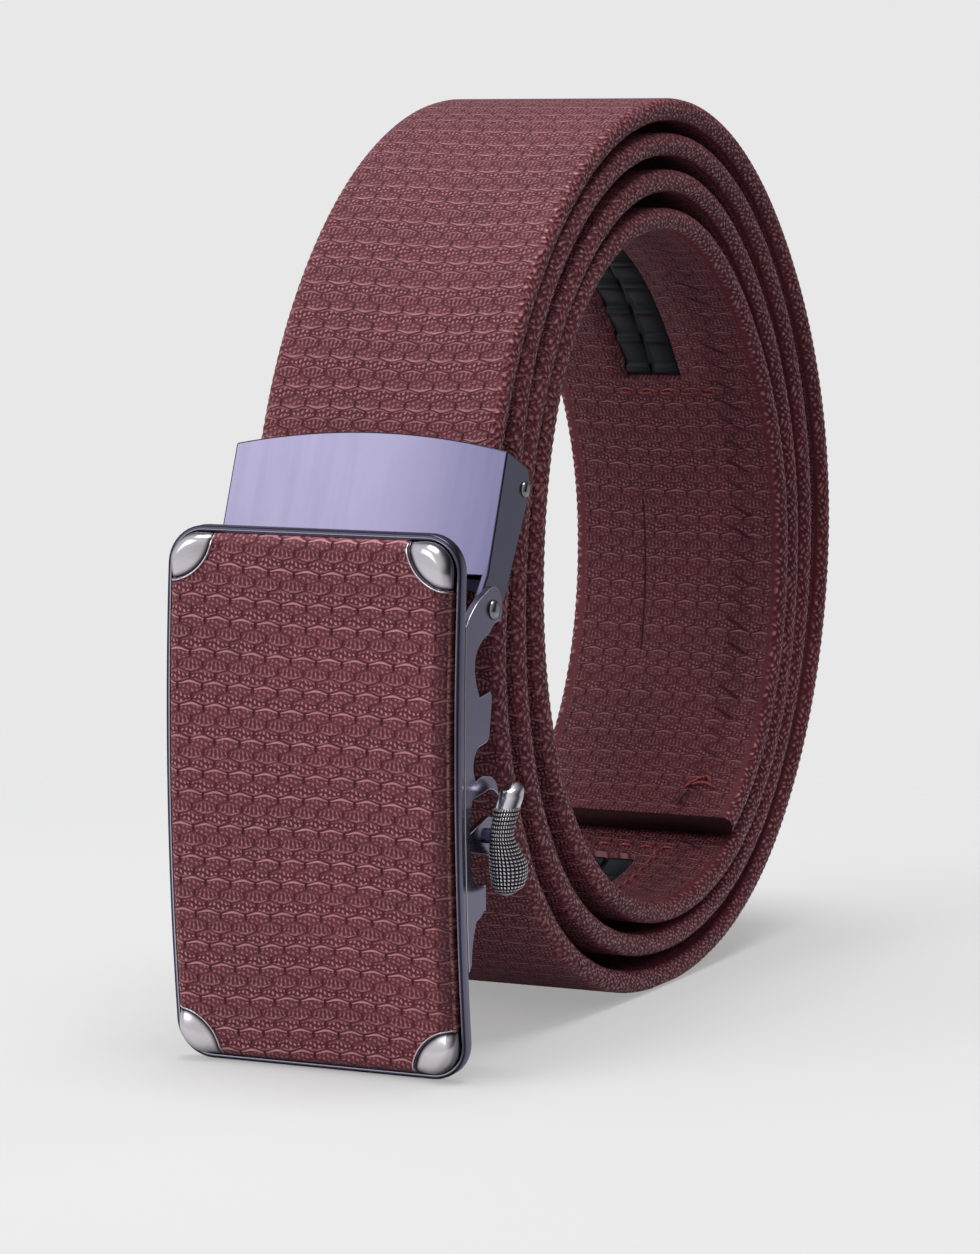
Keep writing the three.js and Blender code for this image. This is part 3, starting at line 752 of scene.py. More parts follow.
def buildStrap():
    angles, places, outward, lengths = line
    across, out, around, rim = crossSection().T
    cx, cy, cz = rollShape["centre"]
    ripple = np.cos(2 * math.pi * lengths / embossLook["rowPitch"])[:, None] * strapLook["edgeRipple"] * rim
    vertices = np.stack([
        cx + across + ripple * np.sign(across),
        cy + places[:, :1] + outward[:, :1] * out,
        np.maximum(cz + places[:, 1:] + outward[:, 1:] * out, 0.0),
    ], 2)
    rows, columns = vertices.shape[:2]
    index = np.arange(rows * columns).reshape(rows, columns)
    beside = np.roll(index, -1, axis=1)
    faces = np.stack([index[:-1], index[1:], beside[1:], beside[:-1]], 2).reshape(-1, 4)
    mesh = bpy.data.meshes.new("strapTurns")
    mesh.from_pydata((vertices.reshape(-1, 3) * mm).tolist(), [], faces.tolist())
    place = np.stack(np.broadcast_arrays(around, -lengths[:, None], out), 2)
    attribute = mesh.attributes.new("leatherPlace", "FLOAT_VECTOR", "POINT")
    attribute.data.foreach_set("vector", place.astype(np.float32).ravel())

    work = bmesh.new()
    work.from_mesh(mesh)
    bpy.data.meshes.remove(mesh)
    work.verts.ensure_lookup_table()
    # both ends are cut square and show the cut leather, coloured near black: partly its own dark colour, partly
    # painted shade
    for row in (index[0][::-1], index[-1]):
        work.faces.new([work.verts[corner] for corner in row]).material_index = 1
    work.faces.ensure_lookup_table()
    # window in the inner face
    low, high = strapLook["window"]
    top, foot = (int(np.argmin(abs(angles - angle))) for angle in strapLook["windowAngles"])
    right, left = (next(j for j in range(columns) if abs(across[j] - x) < 1e-6 and out[j] < 0)
                   for x in (high, low))
    chosen = [work.faces[i * columns + j] for i in range(top, foot) for j in range(right, left)]
    grown = bmesh.ops.extrude_face_region(work, geom=chosen)
    bmesh.ops.delete(work, geom=chosen, context="FACES")
    key = work.verts.layers.float_vector["leatherPlace"]
    for v in grown["geom"]:
        if isinstance(v, bmesh.types.BMVert):
            y, z = (np.interp(-v[key][1], lengths, column) for column in outward.T)
            v.co += Vector((0, y, z)) * strapLook["pocket"] * mm
    piece = addObject("strapBelt", toMesh(work, "strapBelt"), strapLeather, stuffs["shadedCutLeather"])
    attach(piece, "belt")
    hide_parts("strap")
    return piece


strapBelt = buildStrap()
print("scene: strap rolled,", len(strapBelt.data.polygons), "faces")


# Threads: bent tubes on the strap's inner face, given by points of length, x and height
def tube(work, points, radius, sides=6):
    points = [Vector(point) for point in points]
    rings = []
    for i, point in enumerate(points):
        ahead = (points[min(i + 1, len(points) - 1)] - points[max(i - 1, 0)]).normalized()
        aside = ahead.cross(Vector((0.3, 0.4, 0.87))).normalized()
        upward = ahead.cross(aside)
        share = radius * math.sqrt(max(1 - (2 * i / (len(points) - 1) - 1) ** 6, 0.05))
        rings.append([work.verts.new(point + share * (math.cos(t) * aside + math.sin(t) * upward))
                      for t in (2 * math.pi * k / sides for k in range(sides))])
    joinRings(work, rings)
    closeEnds(work, rings)


def sewnPiece(name, work, thread):
    piece = addObject(name, toMesh(work, name), stuffs[thread])
    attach(piece, "belt")


stitchLook = {
    "pitch": 3.0,
    "length": 2.0,
    "radius": 0.21,
    "bow": 0.34,
    "sunk": 0.12,
    "beside": 2.4,
    "beyond": 2.6,
    "overrun": 3.0,
    "alongside": 34.0,
}


def stitchRoute(start, end):
    look = stitchLook
    (l0, x0), (l1, x1) = start, end
    span = math.hypot(l1 - l0, x1 - x0)
    count = max(int(span / look["pitch"]), 1)
    for i in range(count):
        points = []
        for t in np.linspace(0, 1, 7):
            share = (i + 0.5 + (t - 0.5) * look["length"] / look["pitch"]) / count
            lift = look["bow"] * math.sin(math.pi * t) - look["sunk"]
            points.append((l0 + (l1 - l0) * share, x0 + (x1 - x0) * share, lift))
        yield points


def buildStitches():
    look = stitchLook
    low, high = strapLook["window"]
    first, last = (lengthAt(angle) for angle in strapLook["windowAngles"])
    left, right = low - look["beside"], high + look["beside"]
    foot, top = last + look["beyond"], first - look["beyond"]
    side = top + look["alongside"]
    routes = [((top, left), (side, left)), ((top, right), (side, right)),
              ((foot, left), (foot, right + look["overrun"])), ((top, left), (top, right + look["overrun"]))]
    inside = -rollShape["thick"] / 2
    work = bmesh.new()
    for start, end in routes:
        for points in stitchRoute(start, end):
            tube(work, [onStrap(l, x, inside - h) for l, x, h in points], look["radius"] * mm)
    sewnPiece("windowStitches", work, "redThread")


# The seam's last stitch: a red knot with two loops, and a dark tail
knotLook = {
    "at": (1286.5, 8.4),
    "loops": (
        ((0.0, 0.0), (-1.4, 1.2), (-2.0, 2.6), (-0.9, 3.4)),
        ((-0.2, 0.3), (-0.6, 1.8), (-0.4, 3.2), (0.3, 4.6)),
        ((0.4, -0.5), (0.0, 0.0), (-0.5, 0.4), (-1.0, 0.6)),
    ),
    "tail": ((0.2, 0.0), (1.6, 0.3), (3.2, -0.2), (4.9, -0.5)),
    "radius": 0.24,
    "tailRadius": 0.16,
    "lift": (0.35, 0.1),
}


def buildKnot():
    look = knotLook
    length, across = look["at"]
    inside = -rollShape["thick"] / 2
    bow, base = look["lift"]
    for name, strands, radius, thread in (("seamKnot", look["loops"], look["radius"], "redThread"),
                                          ("seamTail", (look["tail"],), look["tailRadius"], "darkThread")):
        work = bmesh.new()
        for strand in strands:
            rows = np.array(strand)
            t = np.linspace(0, len(rows) - 1, 16)
            dense = [np.interp(t, range(len(rows)), rows[:, k]) for k in (0, 1)]
            lift = bow * np.sin(math.pi * t / (len(rows) - 1)) + base
            points = [onStrap(length + a, across + b, inside - h) for a, b, h in zip(*dense, lift)]
            tube(work, points, radius * mm)
        sewnPiece(name, work, thread)


buildStitches()
buildKnot()
print("scene: threads sewn")

# Track: two columns of teeth, each a rounded step, a short flat and a long ramp down to the next
trackShape = {
    "wide": 8.6,
    "shift": -0.7,
    "columnGap": 0.7,
    "base": 0.55,
    "tooth": 0.6,
    "pitch": 6.3,
    "lastTooth": 1223.3,
    "gap": 0.3,
    "rows": ((0.0, 0.0), (0.03, 0.08), (0.05, 0.45), (0.07, 0.85), (0.1, 1.0), (0.2, 1.0), (0.235, 0.93),
             (0.25, 0.84), (0.5, 0.5), (0.75, 0.22), (0.93, 0.04)),
    "sides": ((0.0, 0.22), (0.16, 0.05), (0.352, 0.0)),
    "spine": 0.5,
    "spineSteps": 120,
}


def buildTrack():
    look = trackShape
    first, last = (lengthAt(angle) for angle in strapLook["windowAngles"])
    first, last = first + look["gap"], last - look["gap"]
    back = -rollShape["thick"] / 2 + look["tooth"] + look["base"] + 0.1
    root = back - look["base"]
    crest, place = [(last, root)], lengthAt(look["lastTooth"])
    while place > first:
        tooth = [(place + along * look["pitch"], root - high * look["tooth"]) for along, high in look["rows"]]
        crest = [point for point in tooth if point[0] < last] + crest
        place -= look["pitch"]
    crest = [(first, root)] + crest
    half, inset, middle, sides = look["wide"] / 2, look["columnGap"] / 2, look["shift"], look["sides"]
    work = bmesh.new()
    for x0, x1 in ((middle - half, middle - inset), (middle + inset, middle + half)):
        profile = [(x0 + x, drop) for x, drop in sides] + [(x1 - x, drop) for x, drop in sides[::-1]]
        rings = []
        for length, out in crest:
            ring = [onStrap(length, x, min(out + drop, root + 0.1)) for x, drop in profile]
            ring += [onStrap(length, x, back) for x in (x1, x0)]
            rings.append([work.verts.new(point) for point in ring])
        joinRings(work, rings)
        closeEnds(work, rings)
    spine, front, rear = look["spine"], root + 0.06, back - 0.04
    corners = ((-spine, front), (spine, front), (spine, rear), (-spine, rear))
    rings = [[work.verts.new(onStrap(length, middle + x, out)) for x, out in corners]
             for length in np.linspace(first, last, look["spineSteps"])]
    joinRings(work, rings)
    closeEnds(work, rings)
    mesh = toMesh(work, "ratchetTrack")
    mesh.set_sharp_from_angle(angle=math.radians(50))
    piece = addObject("ratchetTrack", mesh, stuffs["trackPlastic"])
    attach(piece, "belt")
    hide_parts("ratchet_track")


buildTrack()
print("scene: track laid")

# Nodes that keep their solid get their slot's material
slotMaterials = {
    "gunmetal": metals["gunmetal"],
    "silver_metal": metals["silver"],
    "track_plastic": stuffs["trackPlastic"],
    "strap_leather": strapLeather,
    "panel_leather": panelLeather,
}
for entry in frame["record"]["subparts"]:
    node = frame["nodes"][entry["node"]]
    node.data.materials.clear()
    node.data.materials.append(slotMaterials[entry["material_slot"]])

# Frames of reference: the buckle turns about its hinge, the clamp leans with the strap
joints = {joint["name"]: Vector(joint["pos_m"]) for joint in frame["joints"]}
hinge, shaft = joints["buckle_swing"], joints["lever_release"]
clampTop = Vector(rollShape["centre"]) + Vector((0, -62.5287, 19.2009))


def placed(origin, lean):
    return Matrix.Translation(origin) @ Matrix.Rotation(lean, 4, "X") @ Matrix.Diagonal((mm, mm, mm, 1))


inBuckle = placed(hinge, math.radians(2.5))
inLever = placed(shaft, math.radians(2.5))
inClamp = placed(clampTop * mm, -0.358055)


# Turns a bmesh in millimetres into a piece on its body, with soft edges if it gets a bevel; the bevel faces take
# the rim metal, a painted highlight on the frame and a painted shade line on the cover
def finishPiece(work, name, place, material, body, replaced,
                sharp=38, bevel=0.0, steps=2, rim=None, clamp=True):
    piece = addObject(name, toMesh(work, name, place), material)
    if bevel:
        piece.data.materials.append(rim)
        edge = piece.modifiers.new("edge", "BEVEL")
        edge.width = bevel * mm
        edge.segments = steps
        edge.limit_method = "ANGLE"
        edge.angle_limit = math.radians(sharp)
        edge.harden_normals = True
        edge.use_clamp_overlap = clamp
        edge.material = 1
    else:
        piece.data.set_sharp_from_angle(angle=math.radians(sharp))
    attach(piece, body)
    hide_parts(replaced)


def prism(work, outline, corner, low, high):
    rings = [[work.verts.new(corner(p, end)) for p in outline] for end in (low, high)]
    closeEnds(work, rings)
    joinRings(work, rings)


def arcPoints(y, z, radius, first, last, steps):
    turns = [math.radians(first + (last - first) * i / steps) for i in range(steps + 1)]
    return [(y + radius * math.cos(turn), z + radius * math.sin(turn)) for turn in turns]


def curvePoints(start, control, end, steps=8):
    return [tuple((1 - t) ** 2 * a + 2 * t * (1 - t) * b + t * t * c for a, b, c in zip(start, control, end))
            for t in (i / steps for i in range(1, steps + 1))]


def acrossBelt(p, x):
    return (x, p[0], p[1])


def frontToBack(p, y):
    return (p[0], y, p[1])


def gridFaces(work, grid, keep=None):
    for i in range(len(grid) - 1):
        for j in range(len(grid[0]) - 1):
            if keep is None or keep(i, j):
                work.faces.new((grid[i][j], grid[i + 1][j], grid[i + 1][j + 1], grid[i][j + 1]))


# Closes an open shell: its rim is pushed back to a depth and filled
def closeBack(work, depth):
    rim = [edge for edge in work.edges if edge.is_boundary]
    grown = bmesh.ops.extrude_edge_only(work, edges=rim)
    fresh = [v for v in grown["geom"] if isinstance(v, bmesh.types.BMVert)]
    for v in fresh:
        v.co.y = depth(v.co)
    bmesh.ops.holes_fill(work, edges=[edge for edge in work.edges if edge.is_boundary], sides=0)


def lathe(work, profile, place, sides=32):
    turns = [2 * math.pi * i / sides for i in range(sides)]
    rings = []
    for radius, along in profile:
        ring = [(along, radius * math.cos(turn), radius * math.sin(turn)) for turn in turns]
        rings.append([work.verts.new(place @ Vector(point)) for point in (ring if radius else ring[:1])])
    for one, other in zip(rings, rings[1:]):
        for i in range(sides):
            k = (i + 1) % sides
            corners = [one[i % len(one)], one[k % len(one)], other[k % len(other)], other[i % len(other)]]
            unique = list(dict.fromkeys(corners))
            if len(unique) > 2:
                work.faces.new(unique)
    for ring in (rings[0], rings[-1]):
        if len(ring) > 2:
            work.faces.new(ring)


# Face plate
faceLook = {
    "height": 70.8,
    "above": 10.6,
    "wide": 42.0,
    "corner": 5.0,
    "forward": 10.85,
    "bulge": 2.1,
    "leather": 2.1,
    "gap": 0.3,
    "floor": 1.0,
    "lip": 1.1,
    "wall": 0.6,
    "round": 1.15,
    "fine": 0.2,
    "relief": 0.19,
    "reliefShares": (0.3, 0.6, 0.25, -0.22),
    "calmSides": (0.35, 1.5),
    "calmEnds": (0.2, 0.9),
    "sunk": 0.12,
    "slack": 0.036,
    "capRadius": 6.5,
}
faceInset = faceLook["wall"] + faceLook["gap"]
halfPanel = faceLook["wide"] / 2 - faceInset
halfHigh = faceLook["height"] / 2 - faceInset
faceMiddle = faceLook["above"] - faceLook["height"] / 2
floorDepth = faceLook["leather"] + faceLook["gap"]
trayBack = floorDepth + faceLook["floor"]


def faceAt(z):
    share = (z - faceMiddle) / (faceLook["height"] / 2)
    return -faceLook["forward"] - faceLook["bulge"] * (1 - share * share)


def roundOver(distance, radius):
    short = np.clip(radius - np.asarray(distance, float), 0, radius)
    return radius - np.sqrt(np.maximum(radius ** 2 - short ** 2, 0))


# Places from one side of the panel to the other: closer together where its edge is rounded
def panelPlaces(half, radius):
    side = half - radius + radius * np.sin(np.linspace(0, math.pi / 2, 7))
    flat = np.arange(-half + radius, half - radius + 1e-6, faceLook["fine"])
    return np.concatenate([-side[:0:-1], flat, side[1:]])


def buildPanel():
    look = faceLook
    r = look["round"]
    x, z = panelPlaces(halfPanel, r), faceMiddle + panelPlaces(halfHigh, r)
    gx, gz = np.meshgrid(x, z, indexing="ij")
    inX, inZ = halfPanel - np.abs(gx), halfHigh - np.abs(gz - faceMiddle)
    height = sum(share * mask for share, mask in zip(look["reliefShares"], relief(gx, gz)))
    calm = between(inX, *look["calmSides"]) * between(inZ, *look["calmEnds"])
    soft = look["sunk"] + look["slack"] * np.sin(gz * 0.31 + 0.4) * np.sin(gx * 0.21 + 1.0)
    y = faceAt(gz) + np.maximum(roundOver(inX, r), roundOver(inZ, r)) - look["relief"] * height * calm + soft
    work = bmesh.new()
    key = work.verts.layers.float_vector.new("leatherPlace")
    grid = []
    for i in range(len(x)):
        column = []
        for j in range(len(z)):
            v = work.verts.new((gx[i, j], y[i, j], gz[i, j]))
            v[key] = (gx[i, j], gz[i, j], 1.6)
            column.append(v)
        grid.append(column)
    reach = look["capRadius"] - 0.5

    def keep(i, j):
        nearX = halfPanel - abs(gx[i, j] + gx[i + 1, j]) / 2
        nearZ = halfHigh - abs((gz[i, j] + gz[i, j + 1]) / 2 - faceMiddle)
        return nearX ** 2 + nearZ ** 2 > reach ** 2

    gridFaces(work, grid, keep)
    bmesh.ops.delete(work, geom=[v for v in work.verts if not v.link_faces], context="VERTS")
    closeBack(work, lambda co: faceAt(co.z) + look["leather"])
    finishPiece(work, "leatherPanel", inBuckle, panelLeather, "buckle", "face_leather",
                sharp=60)


buildPanel()


# Corner caps: a quarter disc round each corner, with a lip, a groove and a dome, rolled over the sides
capLook = {
    "lip": 0.36,
    "lipIn": (0.0, 0.1),
    "lipOut": (0.34, 0.22),
    "groove": ((0.26, 0.4), (1.15, 0.5)),
    "dome": 0.95,
    "domeFrom": 0.5,
    "domeOver": 3.4,
    "sideRound": 1.5,
    "sideDrop": 1.35,
    "sideDark": (0.55, 0.1),
    "proud": 0.12,
    "thick": 1.9,
    "turns": 41,
}


def buildCap(name, sideX, sideZ, node):
    look = capLook
    radius, corner = faceLook["capRadius"], faceLook["corner"] - faceInset
    work = bmesh.new()
    turns = np.linspace(0, math.pi / 2, look["turns"])
    spread = np.cos(turns) + np.sin(turns)
    start = corner * (spread - np.sqrt(np.maximum(spread ** 2 - 1, 0)))
    outer = 0.22 * (1 - np.cos(np.linspace(0, math.pi / 2, 9)))
    shares = np.concatenate([outer[:-1], np.linspace(0.22, 0.8, 12), np.linspace(0.82, 1, 30)])
    paintedShading = work.verts.layers.float.new("paintedShading")
    grid = []
    for turn, low in zip(turns, start):
        column = []
        for share in shares:
            reach = low + (radius - low) * share
            dx, dz = reach * math.cos(turn), reach * math.sin(turn)
            edge = min(dx, dz)
            if dx < corner and dz < corner:
                edge = corner - math.hypot(corner - dx, corner - dz)
            inward = radius - reach
            lip = look["lip"] * between(inward, *look["lipIn"]) * between(inward, *look["lipOut"])
            rise = min(max(inward - look["domeFrom"], 0) / look["domeOver"], 1)
            dome = look["dome"] * math.sin(math.pi / 2 * rise)
            y = look["sideDrop"] * roundOver(max(edge, 0), look["sideRound"]) - lip - dome
            x = sideX * (halfPanel + look["proud"] - dx)
            z = faceMiddle + sideZ * (halfHigh + look["proud"] - dz)
            vert = work.verts.new((x, faceAt(z) + y, z))
            # Painted shade: the groove behind the lip and the rolled sides are coloured dark.
            near, far = look["groove"]
            groove = between(inward, *near) * between(inward, *far)
            vert[paintedShading] = max(groove, 0.75 * between(edge, *look["sideDark"]))
            column.append(vert)
        grid.append(column)
    gridFaces(work, grid)
    closeBack(work, lambda co: faceAt(co.z) + look["thick"])
    finishPiece(work, name, inBuckle, metals["silver"], "buckle", node, sharp=50)


for high, sideZ in (("Top", 1), ("Bottom", -1)):
    for wide, sideX in (("Left", -1), ("Right", 1)):
        buildCap("cap" + high + wide, sideX, sideZ, "corner_cap_" + high.lower() + "_" + wide.lower())


print("scene: panel and caps laid on")


# Tray: a profile carried round the plate's rounded outline, closed by a floor and a back
def plateOutline(inset, cornerSteps=10, sideSteps=30):
    reach = faceLook["wide"] / 2 - inset
    corner = max(faceLook["corner"] - inset, 0.2)
    low, high = (faceMiddle + side * (faceLook["height"] / 2 - inset - corner) for side in (-1, 1))
    points = []
    for x, z, first in ((1, high, 0), (-1, high, 90), (-1, low, 180), (1, low, 270)):
        points += arcPoints(x * (reach - corner), z, corner, first, first + 90, cornerSteps)
        if first in (90, 270):
            end = low + high - z
            points += [(x * reach, z + (end - z) * i / sideSteps) for i in range(1, sideSteps)]
    return points


# Rows of the tray's profile: inset, depth, from which level, and which painted mark it carries: a painted
# highlight line, a painted shade line, or none
trayLook = {
    "rows": (
        (0.6, "floor", 0.0, ""), (0.6, "lip", 0.15, ""), (0.52, "lip", 0.03, "paintedShading"),
        (0.38, "lip", 0.0, ""), (0.22, "lip", 0.0, "shade"), (0.08, "lip", 0.06, "shade"), (0.0, "lip", 0.2, ""),
        (0.0, "back", -0.35, ""), (0.08, "back", -0.1, ""), (0.3, "back", 0.0, ""),
    ),
}


def buildTray():
    levels = {"floor": floorDepth, "lip": floorDepth - faceLook["lip"], "back": trayBack}
    work = bmesh.new()
    paint = {name: work.verts.layers.float.new(name) for name in ("paintedShading", "shade")}
    rings = []
    for inset, level, deeper, painted in trayLook["rows"]:
        depth = levels[level] + deeper
        rings.append([work.verts.new((x, faceAt(z) + depth, z)) for x, z in plateOutline(inset)])
        for vert in rings[-1]:
            for name, layer in paint.items():
                vert[layer] = float(name == painted)
    joinRings(work, rings)
    for ring in (rings[0], rings[-1]):
        # strips between the left and the right side at equal heights
        ordered = sorted(ring, key=lambda vert: -vert.co.z)
        left, right = ([vert for vert in ordered if side * vert.co.x > 0] for side in (-1, 1))
        for i in range(len(left) - 1):
            work.faces.new((left[i], right[i], right[i + 1], left[i + 1]))
    finishPiece(work, "faceTray", inBuckle, metals["trayMetal"], "buckle", "face_tray", sharp=35)


buildTray()

# Frame behind the plate: two cut-out flanges, a web, and a guide bar
frameLook = {
    "length": 46.0,
    "depth": 8.2,
    "ear": 3.0,
    "earFoot": -0.4,
    "earBend": ((-1.9, 0.55), (-0.5, 0.866)),
    "sheet": 0.9,
    "web": 1.0,
    "passage": 4.8,
    "bar": (1.2, 3.4),
    "barAt": 0.775,
    "webAt": 0.12,
    "wide": 41.8,
    "shaftDrop": 29.2,
    "shaftRadius": 1.0,
    "boss": 2.5,
    "neck": 0.2,
    "edge": (
        (0.062, 0.9, 0.12), (0.235, 0.55, 0.36), (0.228, 0.96, 0), (0.27, 1, -0.15), (0.352, 0.93, 0),
        (0.37, 0.78, -0.15), (0.375, 0.5, 0), (0.47, 0.42, 0.26), (0.465, 0.85, -0.1), (0.5, 1.22, -0.12),
        (0.535, 1.3, 0), (0.505, 0.92, 0.1), (0.515, 0.3, 0), (0.58, 0.2, 0.1),
    ),
    "foot": ((0.72, 0.2, 0), (0.775, 0.68, 0.15), (0.83, 0.72, 0), (0.865, 0.34, -0.1), (0.985, 0.1, 0.06)),
}


def behindPlate(z):
    return faceAt(z) + trayBack + faceLook["gap"]


passageDepth = frameLook["web"] + frameLook["passage"]
shaftDepth = behindPlate(-frameLook["shaftDrop"]) + passageDepth + faceLook["gap"] + frameLook["shaftRadius"]


def bowTo(points, end, bow):
    (y0, z0), (y1, z1) = points[-1], end
    control = ((y0 + y1) / 2 + 2 * bow * (z1 - z0), (z0 + z1) / 2 - 2 * bow * (y1 - y0))
    points += curvePoints((y0, z0), control, end) if bow else [end]


def flangeOutline():
    look = frameLook
    ear, drop, boss = look["ear"], -look["shaftDrop"], look["boss"]
    shoulder = look["earFoot"] * ear
    points = [(behindPlate(shoulder), shoulder)]
    points += curvePoints(points[0], *((ear * y, ear * z) for y, z in look["earBend"]))
    points += arcPoints(0, 0, ear, 120, -36, 18)[1:]

    def follow(rows):
        for down, out, bow in rows:
            z = -down * look["length"]
            bowTo(points, (behindPlate(z) + out * look["depth"], z), bow)

    neck = behindPlate(drop) + look["neck"] * look["depth"]
    follow(look["edge"])
    points.append((neck, drop + 0.5 * boss))
    points += arcPoints(shaftDepth, drop, boss, 90, -90, 20)
    points.append((neck, drop - 0.5 * boss))
    follow(look["foot"])
    heights = np.linspace(-look["length"], shoulder, 24, endpoint=False)
    return points + [(behindPlate(z), z) for z in heights]


def buildFrame():
    look = frameLook
    work = bmesh.new()
    outline = flangeOutline()
    middle = (look["wide"] - look["sheet"]) / 2
    for side in (-1, 1):
        prism(work, outline, acrossBelt, side * middle - look["sheet"] / 2, side * middle + look["sheet"] / 2)
    heights = np.linspace(-look["webAt"] * look["length"], -look["length"], 25)
    web = [(behindPlate(z), z) for z in heights] + [(behindPlate(z) + look["web"], z) for z in heights[::-1]]
    prism(work, web, acrossBelt, -middle, middle)
    barTop = -look["barAt"] * look["length"]
    front = behindPlate(barTop) + passageDepth
    deep, high = look["bar"]
    bar = [(front, barTop), (front + deep, barTop), (front + deep, barTop - high), (front, barTop - high)]
    prism(work, bar, acrossBelt, -middle, middle)
    # Painted highlight: the frame's bevelled edges are a brighter metal.
    finishPiece(work, "buckleFrame", inBuckle, metals["gunmetal"], "buckle", "buckle_frame",
                bevel=0.17, steps=3, rim=metals["paintedHighlightEdge"])


buildFrame()
print("scene: tray and frame built")

# Clamp cover: a front with an arched top, two cheeks, and lugs for the hinge
coverLook = {
    "top": 3.5,
    "high": 16.8,
    "arch": 2.1,
    "sheet": 1.0,
    "inside": 37.6,
    "wide": 39.6,
    "cheek": 8.6,
    "hingeDrop": 4.4,
    "lug": 2.3,
    "front": -2.9,
    "hinge": (-2.1, -24.7),
    "pin": (4.3, -6.5),
    "rearSlope": (0.15, 0.2),
    "rearEnd": 0.3,
    "rearFoot": (0.28, 0.4),
}


# One closed shell from shells that run into each other; corners closer than 0.02 mm become one
def boolUnion(name, builders):
    shells = []
    for build in builders:
        work = bmesh.new()
        build(work)
        shells.append(addObject(name, toMesh(work, name)))
    for shell in shells[1:]:
        union = shells[0].modifiers.new("union", "BOOLEAN")
        union.operation, union.solver, union.object = "UNION", "EXACT", shell
    bpy.context.view_layer.update()
    evaluated = shells[0].evaluated_get(bpy.context.evaluated_depsgraph_get())
    work = bmesh.new()
    work.from_mesh(evaluated.to_mesh())
    evaluated.to_mesh_clear()
    for shell in shells:
        bpy.data.objects.remove(shell)
    bmesh.ops.remove_doubles(work, verts=work.verts, dist=0.02)
    bmesh.ops.dissolve_limit(work, angle_limit=math.radians(0.5), verts=work.verts, edges=work.edges)
    return work


def buildCover():
    look = coverLook
    top, foot = -look["top"], -(look["top"] + look["high"])
    half = look["wide"] / 2
    arch = [(half * share, top + look["arch"] * (1 - share ** 2)) for share in np.linspace(1, -1, 49)]
    front = [(-half, foot), (half, foot)] + arch
    rear = look["front"] + look["cheek"]
    hy, hz = look["hinge"]
    (inward, down), (footIn, footDown) = look["rearSlope"], look["rearFoot"]
    cheek = [(look["front"], top), (rear - inward * look["cheek"], top), (rear, top - down * look["cheek"]),
             (rear, top - look["rearEnd"] * look["high"]),
             (rear - footIn * look["cheek"], foot - footDown * look["hingeDrop"])]
    cheek += arcPoints(hy, hz, look["lug"], 0, -180, 16)
    cheek.append((look["front"], foot))
    edge = (look["inside"] + look["sheet"]) / 2
    builders = [lambda work: prism(work, front, frontToBack, look["front"], look["front"] + look["sheet"])]
    for side in (-1, 1):
        builders.append(lambda work, side=side: prism(
            work, cheek, acrossBelt, side * edge - look["sheet"] / 2, side * edge + look["sheet"] / 2))
    work = boolUnion("cover", builders)
    # Painted shade: the cover's bevelled edges are a dark metal outline.
    finishPiece(work, "clampCover", inClamp, metals["coverMetal"], "belt", "clamp_cover",
                bevel=0.24, steps=4, rim=metals["paintedShadeEdge"], clamp=False)


buildCover()


# Domed pins: the jaw's pin through both cheeks, and a rivet in each ear
pinLook = {
    "jawPin": (0.7, 1.1),
    "rivet": (0.9, 1.3),
    "proud": 0.1,
    "rim": (0.985, 0.08),
    "dome": ((0.9, 0.225), (0.7, 0.39), (0.4, 0.475), (0, 0.5)),
}


def domed(radius, head, start, end, bothEnds):
    wide, high = pinLook["rim"]
    cap = [(head, 0.0), (head * wide, high)] + [(head * wide, head * high) for wide, high in pinLook["dome"]]
    profile = [(r, start - a) for r, a in cap[::-1]] if bothEnds else [(0, start)]
    profile += [(radius, start), (radius, end)] + [(r, end + a) for r, a in cap]
    return profile


def buildPins():
    half, proud = coverLook["wide"] / 2 + 0.05, pinLook["proud"]
    y, z = coverLook["pin"]
    work = bmesh.new()
    lathe(work, domed(*pinLook["jawPin"], -half, half, True), Matrix.Translation((0, y, z)))
    finishPiece(work, "jawPin", inClamp, metals["pinMetal"], "belt", "jaw_pin", sharp=50)
    rivet = domed(*pinLook["rivet"], coverLook["inside"] / 2 + proud, frameLook["wide"] / 2 + proud, False)
    for side, turn in (("Right", 0), ("Left", math.pi)):
        work = bmesh.new()
        lathe(work, rivet, Matrix.Rotation(turn, 4, "Z"))
        finishPiece(work, "rivet" + side, inBuckle, metals["pinMetal"], "buckle",
                    "hinge_rivet_" + side.lower(), sharp=50)


buildPins()
print("scene: cover and pins built")

# Release lever: a bean with a knurled body and a smooth tip
leverLook = {
    "length": 14.6,
    "thick": 4.4,
    "middle": 23.4,
    "waist": 0.475,
    "rows": (
        (0, 0, 0, 0.18), (0.04, 0.1, 0.25, 0.16), (0.12, 0.14, 0.36, 0.11), (0.22, 0.135, 0.36, 0.03),
        (0.34, 0.115, 0.33, -0.06), (0.46, 0.115, 0.33, -0.09), (0.58, 0.155, 0.41, -0.04),
        (0.72, 0.215, 0.5, 0.04), (0.85, 0.205, 0.47, 0.05), (0.95, 0.13, 0.33, 0.02), (1, 0, 0, 0),
    ),
    "around": 28,
    "pitch": 0.5,
    "bite": 0.2,
    "knurled": ((0.2, 0.23), (0.985, 0.96)),
    "valley": (0.42, 0.88),
}


